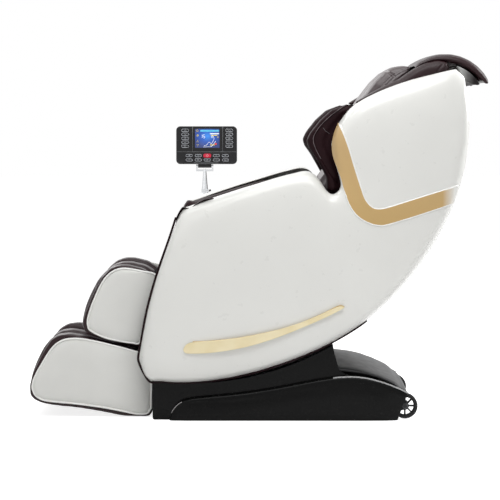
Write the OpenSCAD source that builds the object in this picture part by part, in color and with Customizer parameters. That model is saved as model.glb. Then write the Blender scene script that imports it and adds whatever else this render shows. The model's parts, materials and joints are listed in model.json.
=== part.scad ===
// Massage chair with a rocking cabin on a curved track, a swinging leg rest and a sliding foot section.
// Frame: +X towards the back of the chair, +Y to the sitter's right when seen from behind, +Z up.
// The origin is on the floor, under the middle of the bounding box.

/* [Cabin] */
// Radius of the round underside of the cabin, which is also the track's radius to its centre
cabin_r = 890; // [880:1:900]
// Height of the track's centre above the floor
track_z = 1014; // [1010:1:1020]
// Half the width over the two side shells
half_w = 365; // [362:1:370]
// Thickness of a moulded side shell
shell_t = 4; // [3:0.5:5]
// How far a side shell bulges between its rim and its flattest part
shell_bulge = 60; // [50:1:60]

/* [Track and drive] */
// Outer radius of the two steel arc rails
rail_r = 842; // [840:1:843]
// Radial height of an arc rail
rail_h = 30; // [20:1:32]
// Radius of a track roller where the rail runs on it
roller_r = 24; // [22:1:24]
// Pitch radius of the toothed drive rack
rack_r = 824; // [824:1:824]
// Gear module of rack and pinion
gear_m = 4; // [4:1:4]
// Teeth on the pinion
pinion_teeth = 18; // [18:1:18]

/* [Upholstery] */
// Half the width of the seat cushion
seat_half = 230; // [220:1:232]
// Half the width of the back cushion
back_half = 221; // [210:1:222]
// How far the neck pillow stands out of the back cushion
pillow_t = 58; // [40:1:60]

/* [Leg rest] */
// Half the width of the leg rest over its white side panels
leg_half = 235; // [234:1:236]
// Half the width of the pad between the two leg channels
leg_middle = 44; // [40:1:50]
// Thickness of the pads outside the leg channels
leg_wall = 64; // [60:1:66]

/* [Base] */
// Half the width of the pedestal
pedestal_half = 295; // [292:1:296]
// Radius of a transport wheel
wheel_r = 40; // [36:1:40]
// Number of wheel spokes
spokes = 8; // [5:1:10]

/* [Tablet] */
// Width of the control tablet
tablet_w = 190; // [180:1:200]
// Height of the control tablet
tablet_h = 118; // [110:1:124]
// Thickness of the control tablet
tablet_t = 20; // [18:1:24]

/* [Hidden] */
$fn = 64;

white = "#e8e8e4";
leather = "#3a282b";
gold = "#c4a46e";
pale_gold = "#f2e4ba";
black = "#242424";
steel = "#8a8c8f";
grey = "#6a6c6e";

run = 0.05;                     // radial clearance of a turning or sliding fit
centre = [-216, track_z];       // track centre in the side view
side_gap = 298;                 // inner plane of the side shells, from the middle

// ---------------------------------------------------------------- side-view geometry

// Point of the side view at radius r and angle a, from straight down towards the rear
function arc_at(r, a) = centre + r * [sin(a), -cos(a)];

// Catmull-Rom curve through the points p, with n steps between two of them
function smooth(p, n) = [
    for (i = [0:len(p) - 2], k = [0:n - 1])
        let (t = k / n, a = p[max(i - 1, 0)], b = p[i], c = p[i + 1], d = p[min(i + 2, len(p) - 1)])
            0.5 * (2 * b + (c - a) * t + (2 * a - 5 * b + 4 * c - d) * t * t
                + (-a + 3 * b - 3 * c + d) * t * t * t),
    p[len(p) - 1]];

// Distance of point p from the segment a-b, and from a closed outline
function segment_dist(p, a, b) =
    let (ab = b - a, t = max(0, min(1, ((p - a) * ab) / (ab * ab)))) norm(p - a - t * ab);
function outline_dist(p, o) =
    min([for (i = [0:len(o) - 1]) segment_dist(p, o[i], o[(i + 1) % len(o)])]);

// Drop of a rounded rim of width w and depth h at distance d from the edge
function rim(d, w, h) = d >= w ? 0 : h * (1 - sqrt(1 - pow(1 - d / w, 2)));
function ease(t) = let (c = max(0, min(1, t))) c * c * (3 - 2 * c);

// Rear and underside of the side shell by angle a: front corner, track circle, tighter back
back_r = 650;
back_from = 68;
back_c = arc_at(cabin_r - back_r, back_from);
front_corner = [[-373, 176], [-362, 153], [-348, 138]];
function shell_low(a) =
    a < -8 ? let (s = (a + 16) / 4, i = floor(s))
            (i < 1 ? front_corner[0] + (front_corner[1] - front_corner[0]) * s
                : front_corner[1] + (arc_at(cabin_r, -8) - front_corner[1]) * (s - 1))
    : a < back_from ? arc_at(cabin_r, a)
    : a < 98 ? back_c + back_r * [sin(a), -cos(a)]
    : let (t = (a - 98) / 6, p = back_c + back_r * [sin(98), -cos(98)])
        p + t * ([614, 1096] - p) + 12 * sin(180 * t) * [1, 0.6];

// Upper edge of the side shell: [X, Z, angle of the point below it on the underside]
front_edge = [[-379, 200, -15], [-372, 240, -11], [-350, 356, -7], [-320, 463, -4], [-280, 578, -1],
    [-245, 671, 3]];
arm_edge = [[-245, 671, 3], [-222, 684, 4], [-159, 710, 8], [-70, 740, 13], [19, 763, 17],
    [79, 778, 20], [135, 788, 23], [166, 786, 25]];
notch_edge = [[166, 786, 25], [182, 770, 27], [197, 749, 30], [208, 727, 32], [225, 712, 36],
    [246, 720, 40], [257, 738, 43], [252, 764, 46], [240, 799, 49], [228, 839, 52], [223, 873, 55],
    [231, 904, 59], [248, 938, 63]];
top_edge = [[248, 938, 63], [282, 985, 67], [328, 1014, 71], [386, 1041, 76], [469, 1072, 83],
    [552, 1091, 92], [590, 1098, 98], [606, 1101, 102]];
shell_top = concat(smooth(front_edge, 2), smooth(arm_edge, 1), smooth(notch_edge, 1),
    smooth(top_edge, 1));
// The corners between two runs are in both, so they are kept once
shell_columns = [for (i = [0:len(shell_top) - 1])
    if (i == 0 || norm(shell_top[i] - shell_top[i - 1]) > 1) shell_top[i]];

function xz(p) = [p[0], p[1]];
function shell_outline() = concat([for (p = shell_columns) xz(p)],
    [for (i = [len(shell_columns) - 1:-1:0]) shell_low(shell_columns[i][2])]);

// Face of the side shell at depth t under its outside, as a distance from the middle of the chair
function shell_y(p, o, t = 0) =
    let (d = max(0, outline_dist(p, o) - t),
        rear = ease((p[0] - 200) / 330) * ease((p[1] - 420) / 300),
        arm = ease((p[1] - 560) / 150) * ease((240 - p[0]) / 60))
    half_w - t - 8 * pow(1 - min(d / 150, 1), 2) - rim(d, 16 + 44 * rear + 22 * arm, shell_bulge - 8);

// Positions down a column of length l, close together at both ends
near_top = [0, 4, 12, 26, 48, 90];
near_low = [48, 22, 8, 0];
function stations(l, inset) =
    let (s = min(1, 0.4 * l / 90))
    concat([for (d = near_top) (inset + d * s) / l], [for (d = near_low) 1 - (inset + d * s) / l]);

// Grid of [X, Z] points between the upper edge and the underside
function shell_grid(inset) = [for (c = shell_columns)
    let (t = xz(c), b = shell_low(c[2]), l = norm(b - t), k = min(inset, 0.2 * l))
    [for (s = stations(l, k)) t + (b - t) * s]];

// Closed solid between two grids of 3-D points with the same numbers of rows and columns
function skin_faces(n, m) =
    let (q = function(i, j) i * m + j, k = n * m)
    concat(
        [for (i = [0:n - 2], j = [0:m - 2]) each
            [[q(i, j), q(i + 1, j), q(i + 1, j + 1)], [q(i, j), q(i + 1, j + 1), q(i, j + 1)],
             [k + q(i, j), k + q(i + 1, j + 1), k + q(i + 1, j)],
             [k + q(i, j), k + q(i, j + 1), k + q(i + 1, j + 1)]]],
        [for (i = [0:n - 2]) each
            [[q(i, 0), k + q(i, 0), k + q(i + 1, 0)], [q(i, 0), k + q(i + 1, 0), q(i + 1, 0)],
             [q(i, m - 1), k + q(i + 1, m - 1), k + q(i, m - 1)],
             [q(i, m - 1), q(i + 1, m - 1), k + q(i + 1, m - 1)]]],
        [for (j = [0:m - 2]) each
            [[q(0, j), k + q(0, j + 1), k + q(0, j)], [q(0, j), q(0, j + 1), k + q(0, j + 1)],
             [q(n - 1, j), k + q(n - 1, j), k + q(n - 1, j + 1)],
             [q(n - 1, j), k + q(n - 1, j + 1), q(n - 1, j + 1)]]]);

function six_volumes(p, f) =
    [for (t = f) cross(p[t[0]], p[t[1]]) * p[t[2]]] * [for (t = f) 1];

module skin(a, b) {
    pts = concat([for (r = a) each r], [for (r = b) each r]);
    faces = skin_faces(len(a), len(a[0]));
    // each face is listed clockwise as seen from outside
    polyhedron(pts, six_volumes(pts, faces) > 0 ? [for (f = faces) [f[0], f[2], f[1]]] : faces);
}

// Side-view outline extruded across the chair from y0 to y1
module across(y0, y1) translate([0, y1, 0]) rotate([90, 0, 0]) linear_extrude(y1 - y0) children();

// Rod or tube across the chair
module bar(p, r, y0, y1, hole = 0) translate([p[0], y0, p[1]]) rotate([-90, 0, 0])
    difference() {
        cylinder(r = r, h = y1 - y0);
        if (hole > 0) translate([0, 0, -1]) cylinder(r = hole, h = y1 - y0 + 2);
    }

module right() mirror([0, 1, 0]) children();

// Ring sector round the track centre, between radii r0 and r1, angles a0 and a1
module track_ring(r0, r1, a0, a1, y0, y1)
    translate([centre[0], y0, centre[1]]) rotate([-90, 0, 0]) rotate([0, 0, 90 - a1])
        rotate_extrude(angle = a1 - a0, $fn = 720) translate([r0, 0]) square([r1 - r0, y1 - y0]);

// ---------------------------------------------------------------- base

foot_top = 14;                  // the frame stands on feet this high
tube_h = 40;
rail_y = 226;                   // inner face of a base side tube
bracket_y = [214, 222];         // a roller's bracket plate
rail_half = [192, 208];         // an arc rail, across
front_roller_a = -4;
rear_roller_a = 18;
roller_gap = 0.4;               // left under the rail so that solids never overlap
roller_c = rail_r + roller_gap + roller_r;
stub_r = 8;
wheel_c = [461, 43];
wheel_pin_r = 6;
wheel_y = [254, 282];
pedestal_r = 897;               // its top follows the cabin with a small gap
pedestal_front = -337;
pedestal_t = 5;
rack_y = [150, 164];
pinion_c = arc_at(rack_r + gear_m * pinion_teeth / 2, 0);
motor_c = [-216, 78];
motor_plate = [167, 179];

module base_rail() color(steel) {
    difference() {
        union() {
            translate([-318, -rail_y - 24, foot_top]) cube([740, 24, tube_h]);
            across(-rail_y - 24, -rail_y - 18)
                polygon([[400, foot_top], [wheel_c[0] + 8, wheel_c[1] - 14], [wheel_c[0] + 14, wheel_c[1]],
                    [wheel_c[0] + 8, wheel_c[1] + 14], [420, 78], [380, foot_top + tube_h]]);
            bar(wheel_c, wheel_pin_r, -wheel_y[1] - 3, -rail_y - 18);
            bar(wheel_c, 10, -wheel_y[0] + 1, -rail_y - 18);
        }
        // open bore of the rectangular tube
        translate([-319, -rail_y - 21.5, foot_top + 2.5]) cube([700, 19, tube_h - 5]);
    }
}

module left_base_rail() base_rail();
module right_base_rail() right() base_rail();

cross_x = [-233, 290];
module base_cross_tubes() color(steel) for (x = cross_x)
    translate([x, -rail_y, foot_top]) difference() {
        cube([34, 2 * rail_y, 30]);
        translate([2.5, -1, 2.5]) cube([29, 2 * rail_y + 2, 25]);
    }

// Upright plate with a fixed stub for one roller
module roller_bracket(a) {
    c = arc_at(roller_c, a);
    across(-bracket_y[1], -bracket_y[0]) difference() {
        hull() {
            translate(c) circle(r = 15);
            translate([c[0] - 30, foot_top + tube_h - 30]) square([60, 4]);
        }
        translate([c[0], (c[1] + foot_top + tube_h) / 2 - 14]) circle(r = 9);
    }
    bar(c, stub_r, -bracket_y[0], -186);
    translate([c[0] - 30, -rail_y, foot_top + 4]) cube([60, rail_y - bracket_y[1], tube_h - 10]);
}

module roller_brackets() color(steel)
    for (a = [front_roller_a, rear_roller_a]) { roller_bracket(a); right() roller_bracket(a); }

module recline_gearmotor() color(grey) {
    // gearbox plate between motor and pinion, with the pinion's bearing bore
    difference() {
        across(motor_plate[0], motor_plate[1]) difference() {
            hull() {
                translate(pinion_c) circle(r = 17);
                translate(motor_c) circle(r = 30);
            }
            translate(pinion_c) circle(r = 8 + run);
        }
    }
    bar(motor_c, 27, motor_plate[0] - 92, motor_plate[0]);
    bar(motor_c, 21, motor_plate[0] - 108, motor_plate[0] - 92);
    // foot that bolts the gearbox to the front cross tube
    translate([cross_x[0], motor_plate[0] - 70, foot_top + 30]) cube([34, 70, 14]);
    for (y = [-14, -30, -46, -62]) bar(motor_c, 29, motor_plate[0] + y - 3, motor_plate[0] + y);
}

module drive_pinion() color(steel) difference() {
    union() {
        translate([pinion_c[0], rack_y[1], pinion_c[1]]) rotate([90, 0, 0])
            linear_extrude(rack_y[1] - rack_y[0]) gear_outline();
        bar(pinion_c, 8, rack_y[1], motor_plate[1] + 4);
        bar(pinion_c, 13, rack_y[1], rack_y[1] + 2);
    }
}

module control_box() color(black) {
    translate([40, -150, foot_top + 2]) difference() {
        cube([190, 240, 62]);
        for (y = [30:12:210]) translate([30, y, 58]) cube([130, 5, 6]);
    }
    for (x = [28, 230]) translate([x, -90, foot_top + 2]) cube([12, 120, 4]);
}

module air_pump() color(grey) {
    translate([-160, -140, foot_top + 6]) cube([130, 150, 48]);
    for (y = [-110, -65, -20]) bar([-95, foot_top + 54], 15, y - 16, y + 8);
    for (x = [-150, -50], y = [-130, 0]) translate([x, y, foot_top]) cylinder(r = 9, h = 6);
    translate([-30, -65, 44]) rotate([0, 90, 0]) cylinder(r = 6, h = 26);
}

pedestal_rear = [[236, 214], [243, 188], [252, 158], [270, 147], [292, 140], [292, 8]];
function pedestal_outline(r, front) = concat([[front, 8]],
    [for (a = [-asin((centre[0] - front) / r):1.9:29.9]) arc_at(r, a)], [arc_at(r, 30)]);

module pedestal() color(black) difference() {
    across(-pedestal_half, pedestal_half)
        polygon(concat(pedestal_outline(pedestal_r, pedestal_front), pedestal_rear));
    // open underneath and behind
    across(-pedestal_half + pedestal_t, pedestal_half - pedestal_t)
        polygon(concat([[pedestal_front + pedestal_t, 0]],
            [for (a = [-7:2:31]) arc_at(pedestal_r + pedestal_t, a)], [[300, 232], [300, 0]]));
    // slots for the roller brackets and the drive
    for (s = [-1, 1], a = [front_roller_a, rear_roller_a]) let (c = arc_at(roller_c, a))
        translate([c[0] - 34, s * 204 - 22, c[1] - 60]) cube([68, 44, 120]);
    translate([pinion_c[0] - 48, 144, 60]) cube([96, 40, 100]);
}

cover_top = [[-284, 6], [-277, 30], [-262, 55], [-236, 72], [-180, 78], [-97, 85], [-7, 96],
    [105, 116], [194, 135], [273, 144], [329, 141], [385, 127], [430, 107], [462, 90]];
cover_low = [[-280, 6], [-268, 6], [-248, 6], [-222, 6], [-170, 6], [-97, 6], [-7, 6], [105, 6],
    [194, 6], [270, 6], [325, 6], [375, 6], [410, 6], [430, 6]];
cover_y = 319;

function cover_face(p, t) = let (d = outline_dist(p, cover_edge())) cover_y - t
    - 5 * (1 - ease(d / 60)) - rim(d, 9, 17);
function cover_edge() = concat(smooth(cover_top, 1), [[451, 70], [432, 6], [432, -200], [-284, -200]]);

module base_cover() color(black) {
    depths = [0, 3, 9, 24, 60];
    face = function(inset, t) [for (i = [0:len(cover_top) - 1])
        let (a = cover_top[i], b = cover_low[i], l = norm(b - a), k = min(inset, l / 3))
        [for (d = depths) let (p = a + (b - a) * min(0.75, (k + d * min(1, l / 80)) / l))
            [p[0], -max(cover_face(p, t), 296), p[1]],
            [b[0], -max(cover_face(b + [0, 0], t), 296), b[1]]]];
    skin(face(0, 0), face(3, 3));
}

module left_base_cover() base_cover();
module right_base_cover() right() base_cover();

deck_path = smooth([[255, 193], [314, 184], [366, 168], [410, 146], [438, 124], [446, 106], [443, 92]], 2);
deck_cols = [-292, -286, -240, -160, -80, 0, 80, 160, 240, 286, 292];
function deck_drop(y, x) = 18 * pow(abs(y) / 292, 2.4) * (1 - 0.4 * ease((x - 350) / 100))
    + rim(292 - abs(y), 8, 7);

module rear_deck() color(black) {
    face = function(t) [for (p = deck_path) [for (y = deck_cols)
        [p[0] - (p[1] < 120 ? t : 0), y * (1 - t / 1200), p[1] - deck_drop(y, p[0]) - t]]];
    skin(face(0), face(4));
}

inlet = [433, -120, 60];

module rear_panel() color(black) difference() {
    union() {
        across(-243, 243) polygon([[430, 12], [434, 12], [434, 84], [430, 84]]);
        // stiffening lip under the deck
        translate([424, -243, 80]) cube([10, 486, 4]);
        // boss round the power inlet and the rocker switch
        translate([434, inlet[1] - 34, inlet[2] - 20]) cube([2, 68, 40]);
    }
    // three-pin power inlet recess, with its pins left standing
    difference() {
        translate([429, inlet[1] - 24, inlet[2] - 11]) cube([10, 28, 21]);
        for (p = [[-17, -3], [-3, -3], [-10, 4]])
            translate([431, inlet[1] + p[0] - 1, inlet[2] + p[1] - 2]) cube([4, 2, 4]);
        translate([429, inlet[1] - 25, inlet[2] - 12]) cube([2, 30, 23]);
    }
    translate([432, inlet[1] + 12, inlet[2] - 8]) cube([8, 14, 16]);
    // cooling slots
    for (y = [30:14:170]) translate([429, y, 36]) cube([7, 6, 36]);
}

module base_feet() color("#303030") for (x = [-296, 400], s = [-1, 1])
    translate([x, s * (rail_y + 12), 0]) { cylinder(r = 20, h = 6); cylinder(r = 11, h = foot_top); }

// ---------------------------------------------------------------- parts that turn in the base

module rollers_at(a) color("#4a4a4a") {
    c = arc_at(roller_c, a);
    for (s = [0, 1]) mirror([0, s, 0]) difference() {
        union() {
            bar(c, roller_r, -213, -187);
            bar(c, roller_r + 5, -213, -209.5);
            bar(c, roller_r + 5, -190.5, -187);
        }
        bar(c, stub_r + run, -215, -185);
    }
}

module front_track_rollers() rollers_at(front_roller_a);
module rear_track_rollers() rollers_at(rear_roller_a);

module wheel() {
    translate([wheel_c[0], -wheel_y[1], wheel_c[1]]) rotate([-90, 0, 0]) {
        w = wheel_y[1] - wheel_y[0];
        color("#1c1c1c") rotate_extrude() polygon([[wheel_r - 12, 4], [wheel_r - 8, 0], [wheel_r - 3, 0],
            [wheel_r, 4], [wheel_r, w - 4], [wheel_r - 3, w], [wheel_r - 8, w], [wheel_r - 12, w - 4]]);
        color("#1c1c1c") difference() {
            union() {
                cylinder(r = 12, h = w);
                for (a = [0:360 / spokes:359]) rotate([0, 0, a])
                    translate([8, -2.5, 8]) cube([wheel_r - 18, 5, w - 16]);
            }
            translate([0, 0, -1]) cylinder(r = wheel_pin_r + run, h = w + 2);
        }
    }
}

module left_wheel() wheel();
module right_wheel() right() wheel();

// ---------------------------------------------------------------- gearing

tooth_angle = 20;
backlash = 0.35;
rack_pitch = PI * gear_m;
rack_teeth = 34;

function inv(a) = tan(a) * 180 / PI - a;
module gear_outline() {
    r = gear_m * pinion_teeth / 2;
    base = r * cos(tooth_angle);
    half = 90 / pinion_teeth - backlash / r * 90 / PI;
    flank = [for (q = [r - gear_m * 1.2, base, base + 1, r, r + gear_m * 0.5, r + gear_m])
        [q, half + inv(tooth_angle) - (q <= base ? 0 : inv(acos(base / q)))]];
    polygon([for (k = [0:pinion_teeth - 1], s = [-1, 1], i = [0:len(flank) - 1])
        let (f = flank[s < 0 ? i : len(flank) - 1 - i], a = 90 + 180 / pinion_teeth
            + 360 / pinion_teeth * k - s * f[1] * -1)
        f[0] * [cos(a), sin(a)]]);
}

module drive_rack() color(steel) {
    half = rack_pitch / 4 - backlash / 2;
    deg = function(w) w / rack_r * 180 / PI;
    tooth = [for (h = [-gear_m * 1.2, gear_m * 0.92]) [rack_r + h, deg(half - h * tan(tooth_angle))]];
    pitch = deg(rack_pitch);
    first = -4;
    last = rack_teeth + first - 1;
    across(rack_y[0], rack_y[1]) polygon(concat(
        [for (k = [first:last], s = [-1, 1], i = [0, 1]) let (t = tooth[s < 0 ? i : 1 - i])
            arc_at(t[0], k * pitch + s * t[1])],
        [for (k = [last:-2:first]) arc_at(rack_r - 20, k * pitch)]));
}

// ---------------------------------------------------------------- cabin structure

cheek_y = [208, 220];
rail_from = -7;
rail_to = 46;
hip = [-85, 370];               // where seat and back meet
back_u = [sin(37.3), cos(37.3)];
back_n = [-cos(37.3), sin(37.3)];
function back_at(u, n) = hip + u * back_u + n * back_n;
knee = [-312, 460];             // leg rest pivot
knee_r = 10;
seat_u = [cos(31), -sin(31)];
seat_n = [sin(31), cos(31)];
seat_front = [-262, 388];       // front of the seat board's top face
tube_r = 12;
board_t = 14;
function under_board(d) = seat_front + d * seat_u - (board_t + tube_r) * seat_n;
cross_n = -190;
cross_at = [arc_at(790, -2), back_at(90, cross_n), back_at(760, cross_n), under_board(22), under_board(188)];

// Point of the cheek ring at radius r
function cheek_arc(r, a0, a1, n) = [for (i = [0:n]) arc_at(r, a0 + (a1 - a0) * i / n)];

module cheek() color(grey) difference() {
    across(-cheek_y[1], -cheek_y[0]) difference() {
        union() {
            polygon(concat(
                [knee + [-14, -16], [-318, 400], [-314, 300]],
                cheek_arc(828, rail_from, rail_to + 1, 18),
                [back_at(420, -222), back_at(800, -210), back_at(800, -150), back_at(300, -96), back_at(40, -96),
                    [-78, 262], [-262, 374], [-282, 430], knee + [18, -8]]));
            translate(knee) circle(r = 22);
        }
        // lightening windows between the ribs
        polygon([[-296, 262], [-290, 332], [-264, 336], [-208, 302], [-208, 250], [-262, 248]]);
        polygon([[-176, 222], [-178, 286], [-92, 236], [-88, 222]]);
        hull() { translate([10, 262]) circle(r = 24); translate([64, 292]) circle(r = 24); }
        hull() { translate([215, 400]) circle(r = 32); translate([330, 470]) circle(r = 34);
            translate(back_at(300, -200)) circle(r = 26); }
        hull() { translate(back_at(470, -160)) circle(r = 18); translate(back_at(720, -172)) circle(r = 14); }
    }
    bar(knee, knee_r + run, -cheek_y[1] - 1, -cheek_y[0] + 1);
}

module left_cheek() cheek();
module right_cheek() right() cheek();

module cabin_cross_tubes() color(steel) for (p = cross_at)
    bar(p, tube_r, -cheek_y[0], cheek_y[0], tube_r - 2);

module arc_rails() color("#a0a2a4") for (s = [0, 1]) mirror([0, s, 0])
    track_ring(rail_r - rail_h, rail_r, rail_from, rail_to, -rail_half[1], -rail_half[0]);

module seat_board() color("#b8935a") difference() {
    across(-206, 206) polygon([seat_front, seat_front + 210 * seat_u, seat_front + 210 * seat_u - board_t * seat_n,
        seat_front - board_t * seat_n]);
    // breathing holes
    for (d = [50, 105, 160], y = [-130, -45, 45, 130]) let (p = seat_front + d * seat_u)
        translate([p[0], y, p[1]]) rotate([0, 31, 0]) cylinder(r = 14, h = 60, center = true);
}

// Slots in the cabin's underside for rollers and drive
module track_slots(to) for (s = [-1, 1]) translate([0, s * 204, 0])
    track_ring(cabin_r - 40, cabin_r + 20, front_roller_a - 2.6, to, -20, 20);

module belly_pan() color(black) difference() {
    track_ring(cabin_r - 8, cabin_r - 2, -8, 29.6, -296, 296);
    track_slots(31);
    track_ring(cabin_r - 40, cabin_r + 20, -3.4, 28.2, 144, 183);
}

rear_inset = 6;
rear_t = 5;
function rear_line(inset) = concat(
    [for (a = [30:2:back_from]) arc_at(cabin_r - inset, a)],
    [for (a = [back_from + 2:2:98]) back_c + (back_r - inset) * [sin(a), -cos(a)]],
    smooth([[648 - inset, 1032], [638 - inset, 1056], [628 - inset, 1074 - inset / 2]], 3));

module rear_shell() color(white) difference() {
    across(-296, 296) polygon(concat(rear_line(rear_inset),
        [for (i = [len(rear_line(0)) - 1:-1:0]) rear_line(rear_inset + rear_t)[i]]));
    track_slots(rear_roller_a + 27.6);
}

module side_shell() color(white) {
    o = shell_outline();
    face = function(inset, t) [for (col = shell_grid(inset))
        [for (p = col) [p[0], -max(side_gap + 1, shell_y(p, o, t)), p[1]]]];
    skin(face(0, 0), face(shell_t, shell_t));
}

module left_side_shell() side_shell();
module right_side_shell() right() side_shell();

// Strip lying on the side shell between two side-view curves of equal length
module overlay(upper, lower, lift, t, steps) {
    o = shell_outline();
    face = function(h) [for (i = [0:len(upper) - 1])
        [for (s = steps) let (p = upper[i] + (lower[i] - upper[i]) * s)
            [p[0], -(shell_y(p, o) + lift + h), p[1]]]];
    skin(face(t), face(0));
}

gold_inner = smooth([[262, 905], [278, 856], [296, 798], [313, 742], [328, 702], [342, 681], [368, 670], [400, 673],
    [469, 693], [545, 717], [600, 733]], 2);
gold_outer = smooth([[239, 905], [236, 862], [252, 800], [268, 742], [283, 686], [306, 650], [345, 625], [398, 625],
    [480, 648], [550, 670], [590, 683]], 2);

module gold_band() color(gold) overlay(gold_inner, gold_outer, 2, 1.8, [0, 0.22, 0.44, 0.64, 0.82, 1]);
module left_gold_band() gold_band();
module right_gold_band() right() gold_band();

bar_top = smooth([[-236, 236], [-228, 249], [-208, 255], [-146, 258], [-63, 267], [21, 283], [104, 305],
    [187, 338], [240, 364], [256, 368], [265, 364]], 1);
bar_low = smooth([[-238, 228], [-232, 219], [-208, 217], [-146, 220], [-63, 232], [21, 255], [104, 286],
    [187, 322], [236, 345], [250, 353], [262, 360]], 1);

module light_bar() color(pale_gold) overlay(bar_top, bar_low, 0.4, 2.4, [0, 0.25, 0.75, 1]);
module left_light_bar() light_bar();
module right_light_bar() right() light_bar();

module edge_trims() color(leather) for (s = [0, 1]) mirror([0, s, 0]) {
    o = [for (p = smooth(front_edge, 2)) if (p[1] < 600) xz(p)];
    line = concat([for (i = [len(o) - 1:-1:0]) o[i]], [for (a = [-16:4:-8]) shell_low(a)],
        [for (a = [-4:4:60]) arc_at(cabin_r, a)]);
    n = len(line);
    normal = function(i) let (t = line[min(i + 1, n - 1)] - line[max(i - 1, 0)])
        [t[1], -t[0]] / norm(t) * -1;
    across(-side_gap, -side_gap + 1.6) polygon(concat(
        [for (i = [0:n - 1]) line[i] - 4 * normal(i)],
        [for (i = [n - 1:-1:0]) line[i] + 7 * normal(i)]));
}

// ---------------------------------------------------------------- upholstery

// Crown of a cushion across its width: 1 in the middle, drawn in at the seams
function crown(y, half) = 1 - pow(abs(y) / half, 6);
// Sewn channel of the given width at c
function channel(x, c, w) = let (d = (x - c) / w) abs(d) >= 1 ? 0 : pow(cos(90 * d), 2);

seat_top = [[-278, 420], [-286, 448], [-280, 472], [-258, 487], [-222, 486], [-180, 466], [-140, 441], [-105, 417],
    [-82, 400], [-66, 378]];
seat_low = [[-268, 398], [-262, 396], [-250, 388], [-236, 379], [-208, 362], [-180, 345], [-150, 327], [-120, 309],
    [-92, 292], [-72, 280]];
seat_cols = [-1, -0.97, -0.86, -0.7, -0.63, -0.56, -0.3, 0, 0.3, 0.56, 0.63, 0.7, 0.86, 0.97, 1];

module seat_cushion() color(leather) {
    n = len(seat_top);
    width = function(i) seat_half - 5 + 5 * sin(180 * i / (n - 1));
    top = [for (i = [0:n - 1]) [for (c = seat_cols)
        let (y = c * width(i), k = abs(c),
            h = 9 * crown(c, 1) - 9 - 14 * rim(1 - k, 0.14, 1) - 6 * channel(k, 0.63, 0.08)
                + 8 * ease((k - 0.63) / 0.2) * (k < 0.97 ? 1 : 0),
            dir = unit(seat_top[i] - seat_low[i]), p = seat_top[i] + h * dir)
        [p[0], y, p[1]]]];
    low = [for (i = [0:n - 1]) [for (c = seat_cols)
        let (y = c * (width(i) - 3), p = seat_low[i] + 1.5 * seat_n) [p[0], y, p[1]]]];
    skin(top, low);
}

function unit(v) = v / norm(v);

// Back cushion: [distance up the back, height of the face]
back_line = [[14, -26], [24, -6], [60, 6], [130, 14], [200, 12], [280, 4], [340, 0], [420, 0], [500, 2], [580, 2],
    [640, 0], [700, 0], [790, 0], [870, -6], [900, -20], [908, -40]];
back_cols = [-1, -0.96, -0.84, -0.66, -0.56, -0.46, -0.22, 0, 0.22, 0.46, 0.56, 0.66, 0.84, 0.96, 1];
back_seams = [230, 380, 540];

module back_cushion() color(leather) {
    half = function(u) back_half - 8 * pow(abs(u - 460) / 450, 3);
    face = [for (p = back_line) [for (c = back_cols)
        let (k = abs(c), h = p[1] - 10 * rim(1 - k, 0.2, 1) - 9 * channel(k, 0.56, 0.1)
                - 7 * max([for (s = back_seams) channel(p[0], s, 30)]) * (k < 0.56 ? 1 : 0.2),
            q = back_at(p[0], h))
        [q[0], c * half(p[0]), q[1]]]];
    rear = [for (p = back_line) [for (c = back_cols)
        let (q = back_at(p[0], -72 + 4 * pow(abs(c), 2)))
        [q[0], c * (half(p[0]) - 6), q[1]]]];
    skin(face, rear);
}

pillow_line = [[636, 4], [644, 22], [664, 40], [710, 54], [768, 58], [828, 58], [874, 50], [908, 34], [930, 14], [936, -2]];
pillow_cols = [-1, -0.94, -0.8, -0.58, -0.5, -0.42, -0.2, 0, 0.2, 0.42, 0.5, 0.58, 0.8, 0.94, 1];

module neck_pillow() color(leather) {
    half = function(u) 208 - 26 * pow(abs(u - 790) / 150, 2);
    face = [for (p = pillow_line) [for (c = pillow_cols)
        let (k = abs(c), h = 3 + p[1] * pillow_t / 58 * (1 - 0.55 * rim(1 - k, 0.3, 1))
                - 8 * channel(k, 0.5, 0.1), q = back_at(p[0], max(h, 2.5)))
        [q[0], c * half(p[0]), q[1]]]];
    rear = [for (p = pillow_line) [for (c = pillow_cols)
        let (q = back_at(p[0] + (790 - p[0]) * 0.03, p[0] > 868 ? (p[0] > 900 ? -2 : 1) : 1.2))
        [q[0], c * (half(p[0]) - 2), q[1]]]];
    skin(face, rear);
}

// Shoulder wing: columns from its front edge back into the shell
wing_front = [[232, 714], [206, 724], [203, 768], [172, 815], [142, 862], [137, 884], [150, 910], [181, 946],
    [222, 978], [270, 996]];
wing_rear = [[262, 720], [300, 738], [330, 790], [330, 830], [325, 862], [330, 890], [345, 915], [360, 940],
    [372, 965], [380, 985]];
wing_steps = [0, 0.08, 0.2, 0.28, 0.34, 0.7, 1];
wing_out = [274, 286, 289, 288, 283, 281, 281];
wing_in = [258, 240, 231, 228, 228, 229, 230];

module shoulder_wing() color(leather) {
    n = len(wing_front);
    grid = function(ys) [for (i = [0:n - 1]) [for (j = [0:len(wing_steps) - 1])
        let (p = wing_front[i] + (wing_rear[i] - wing_front[i]) * wing_steps[j],
            e = (i == 0 || i == n - 1) ? 0.35 : 1, mid = 260)
        [p[0], -(mid + (ys[j] - mid) * e), p[1]]]];
    skin(grid(wing_out), grid(wing_in));
}
module left_shoulder_wing() shoulder_wing();
module right_shoulder_wing() right() shoulder_wing();

// Armrest pad: a cap over the shell's top rim and a padded inner side, by column along the arm
arm_cap = [[-262, 640, 430], [-244, 676, 432], [-222, 692, 428], [-159, 717, 420], [-70, 746, 410], [19, 768, 400],
    [79, 782, 392], [128, 792, 400], [150, 791.5, 420]];
arm_foot = [[-290, 440], [-272, 438], [-244, 436], [-170, 420], [-80, 410], [10, 420], [70, 440], [110, 470], [150, 520]];

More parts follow.
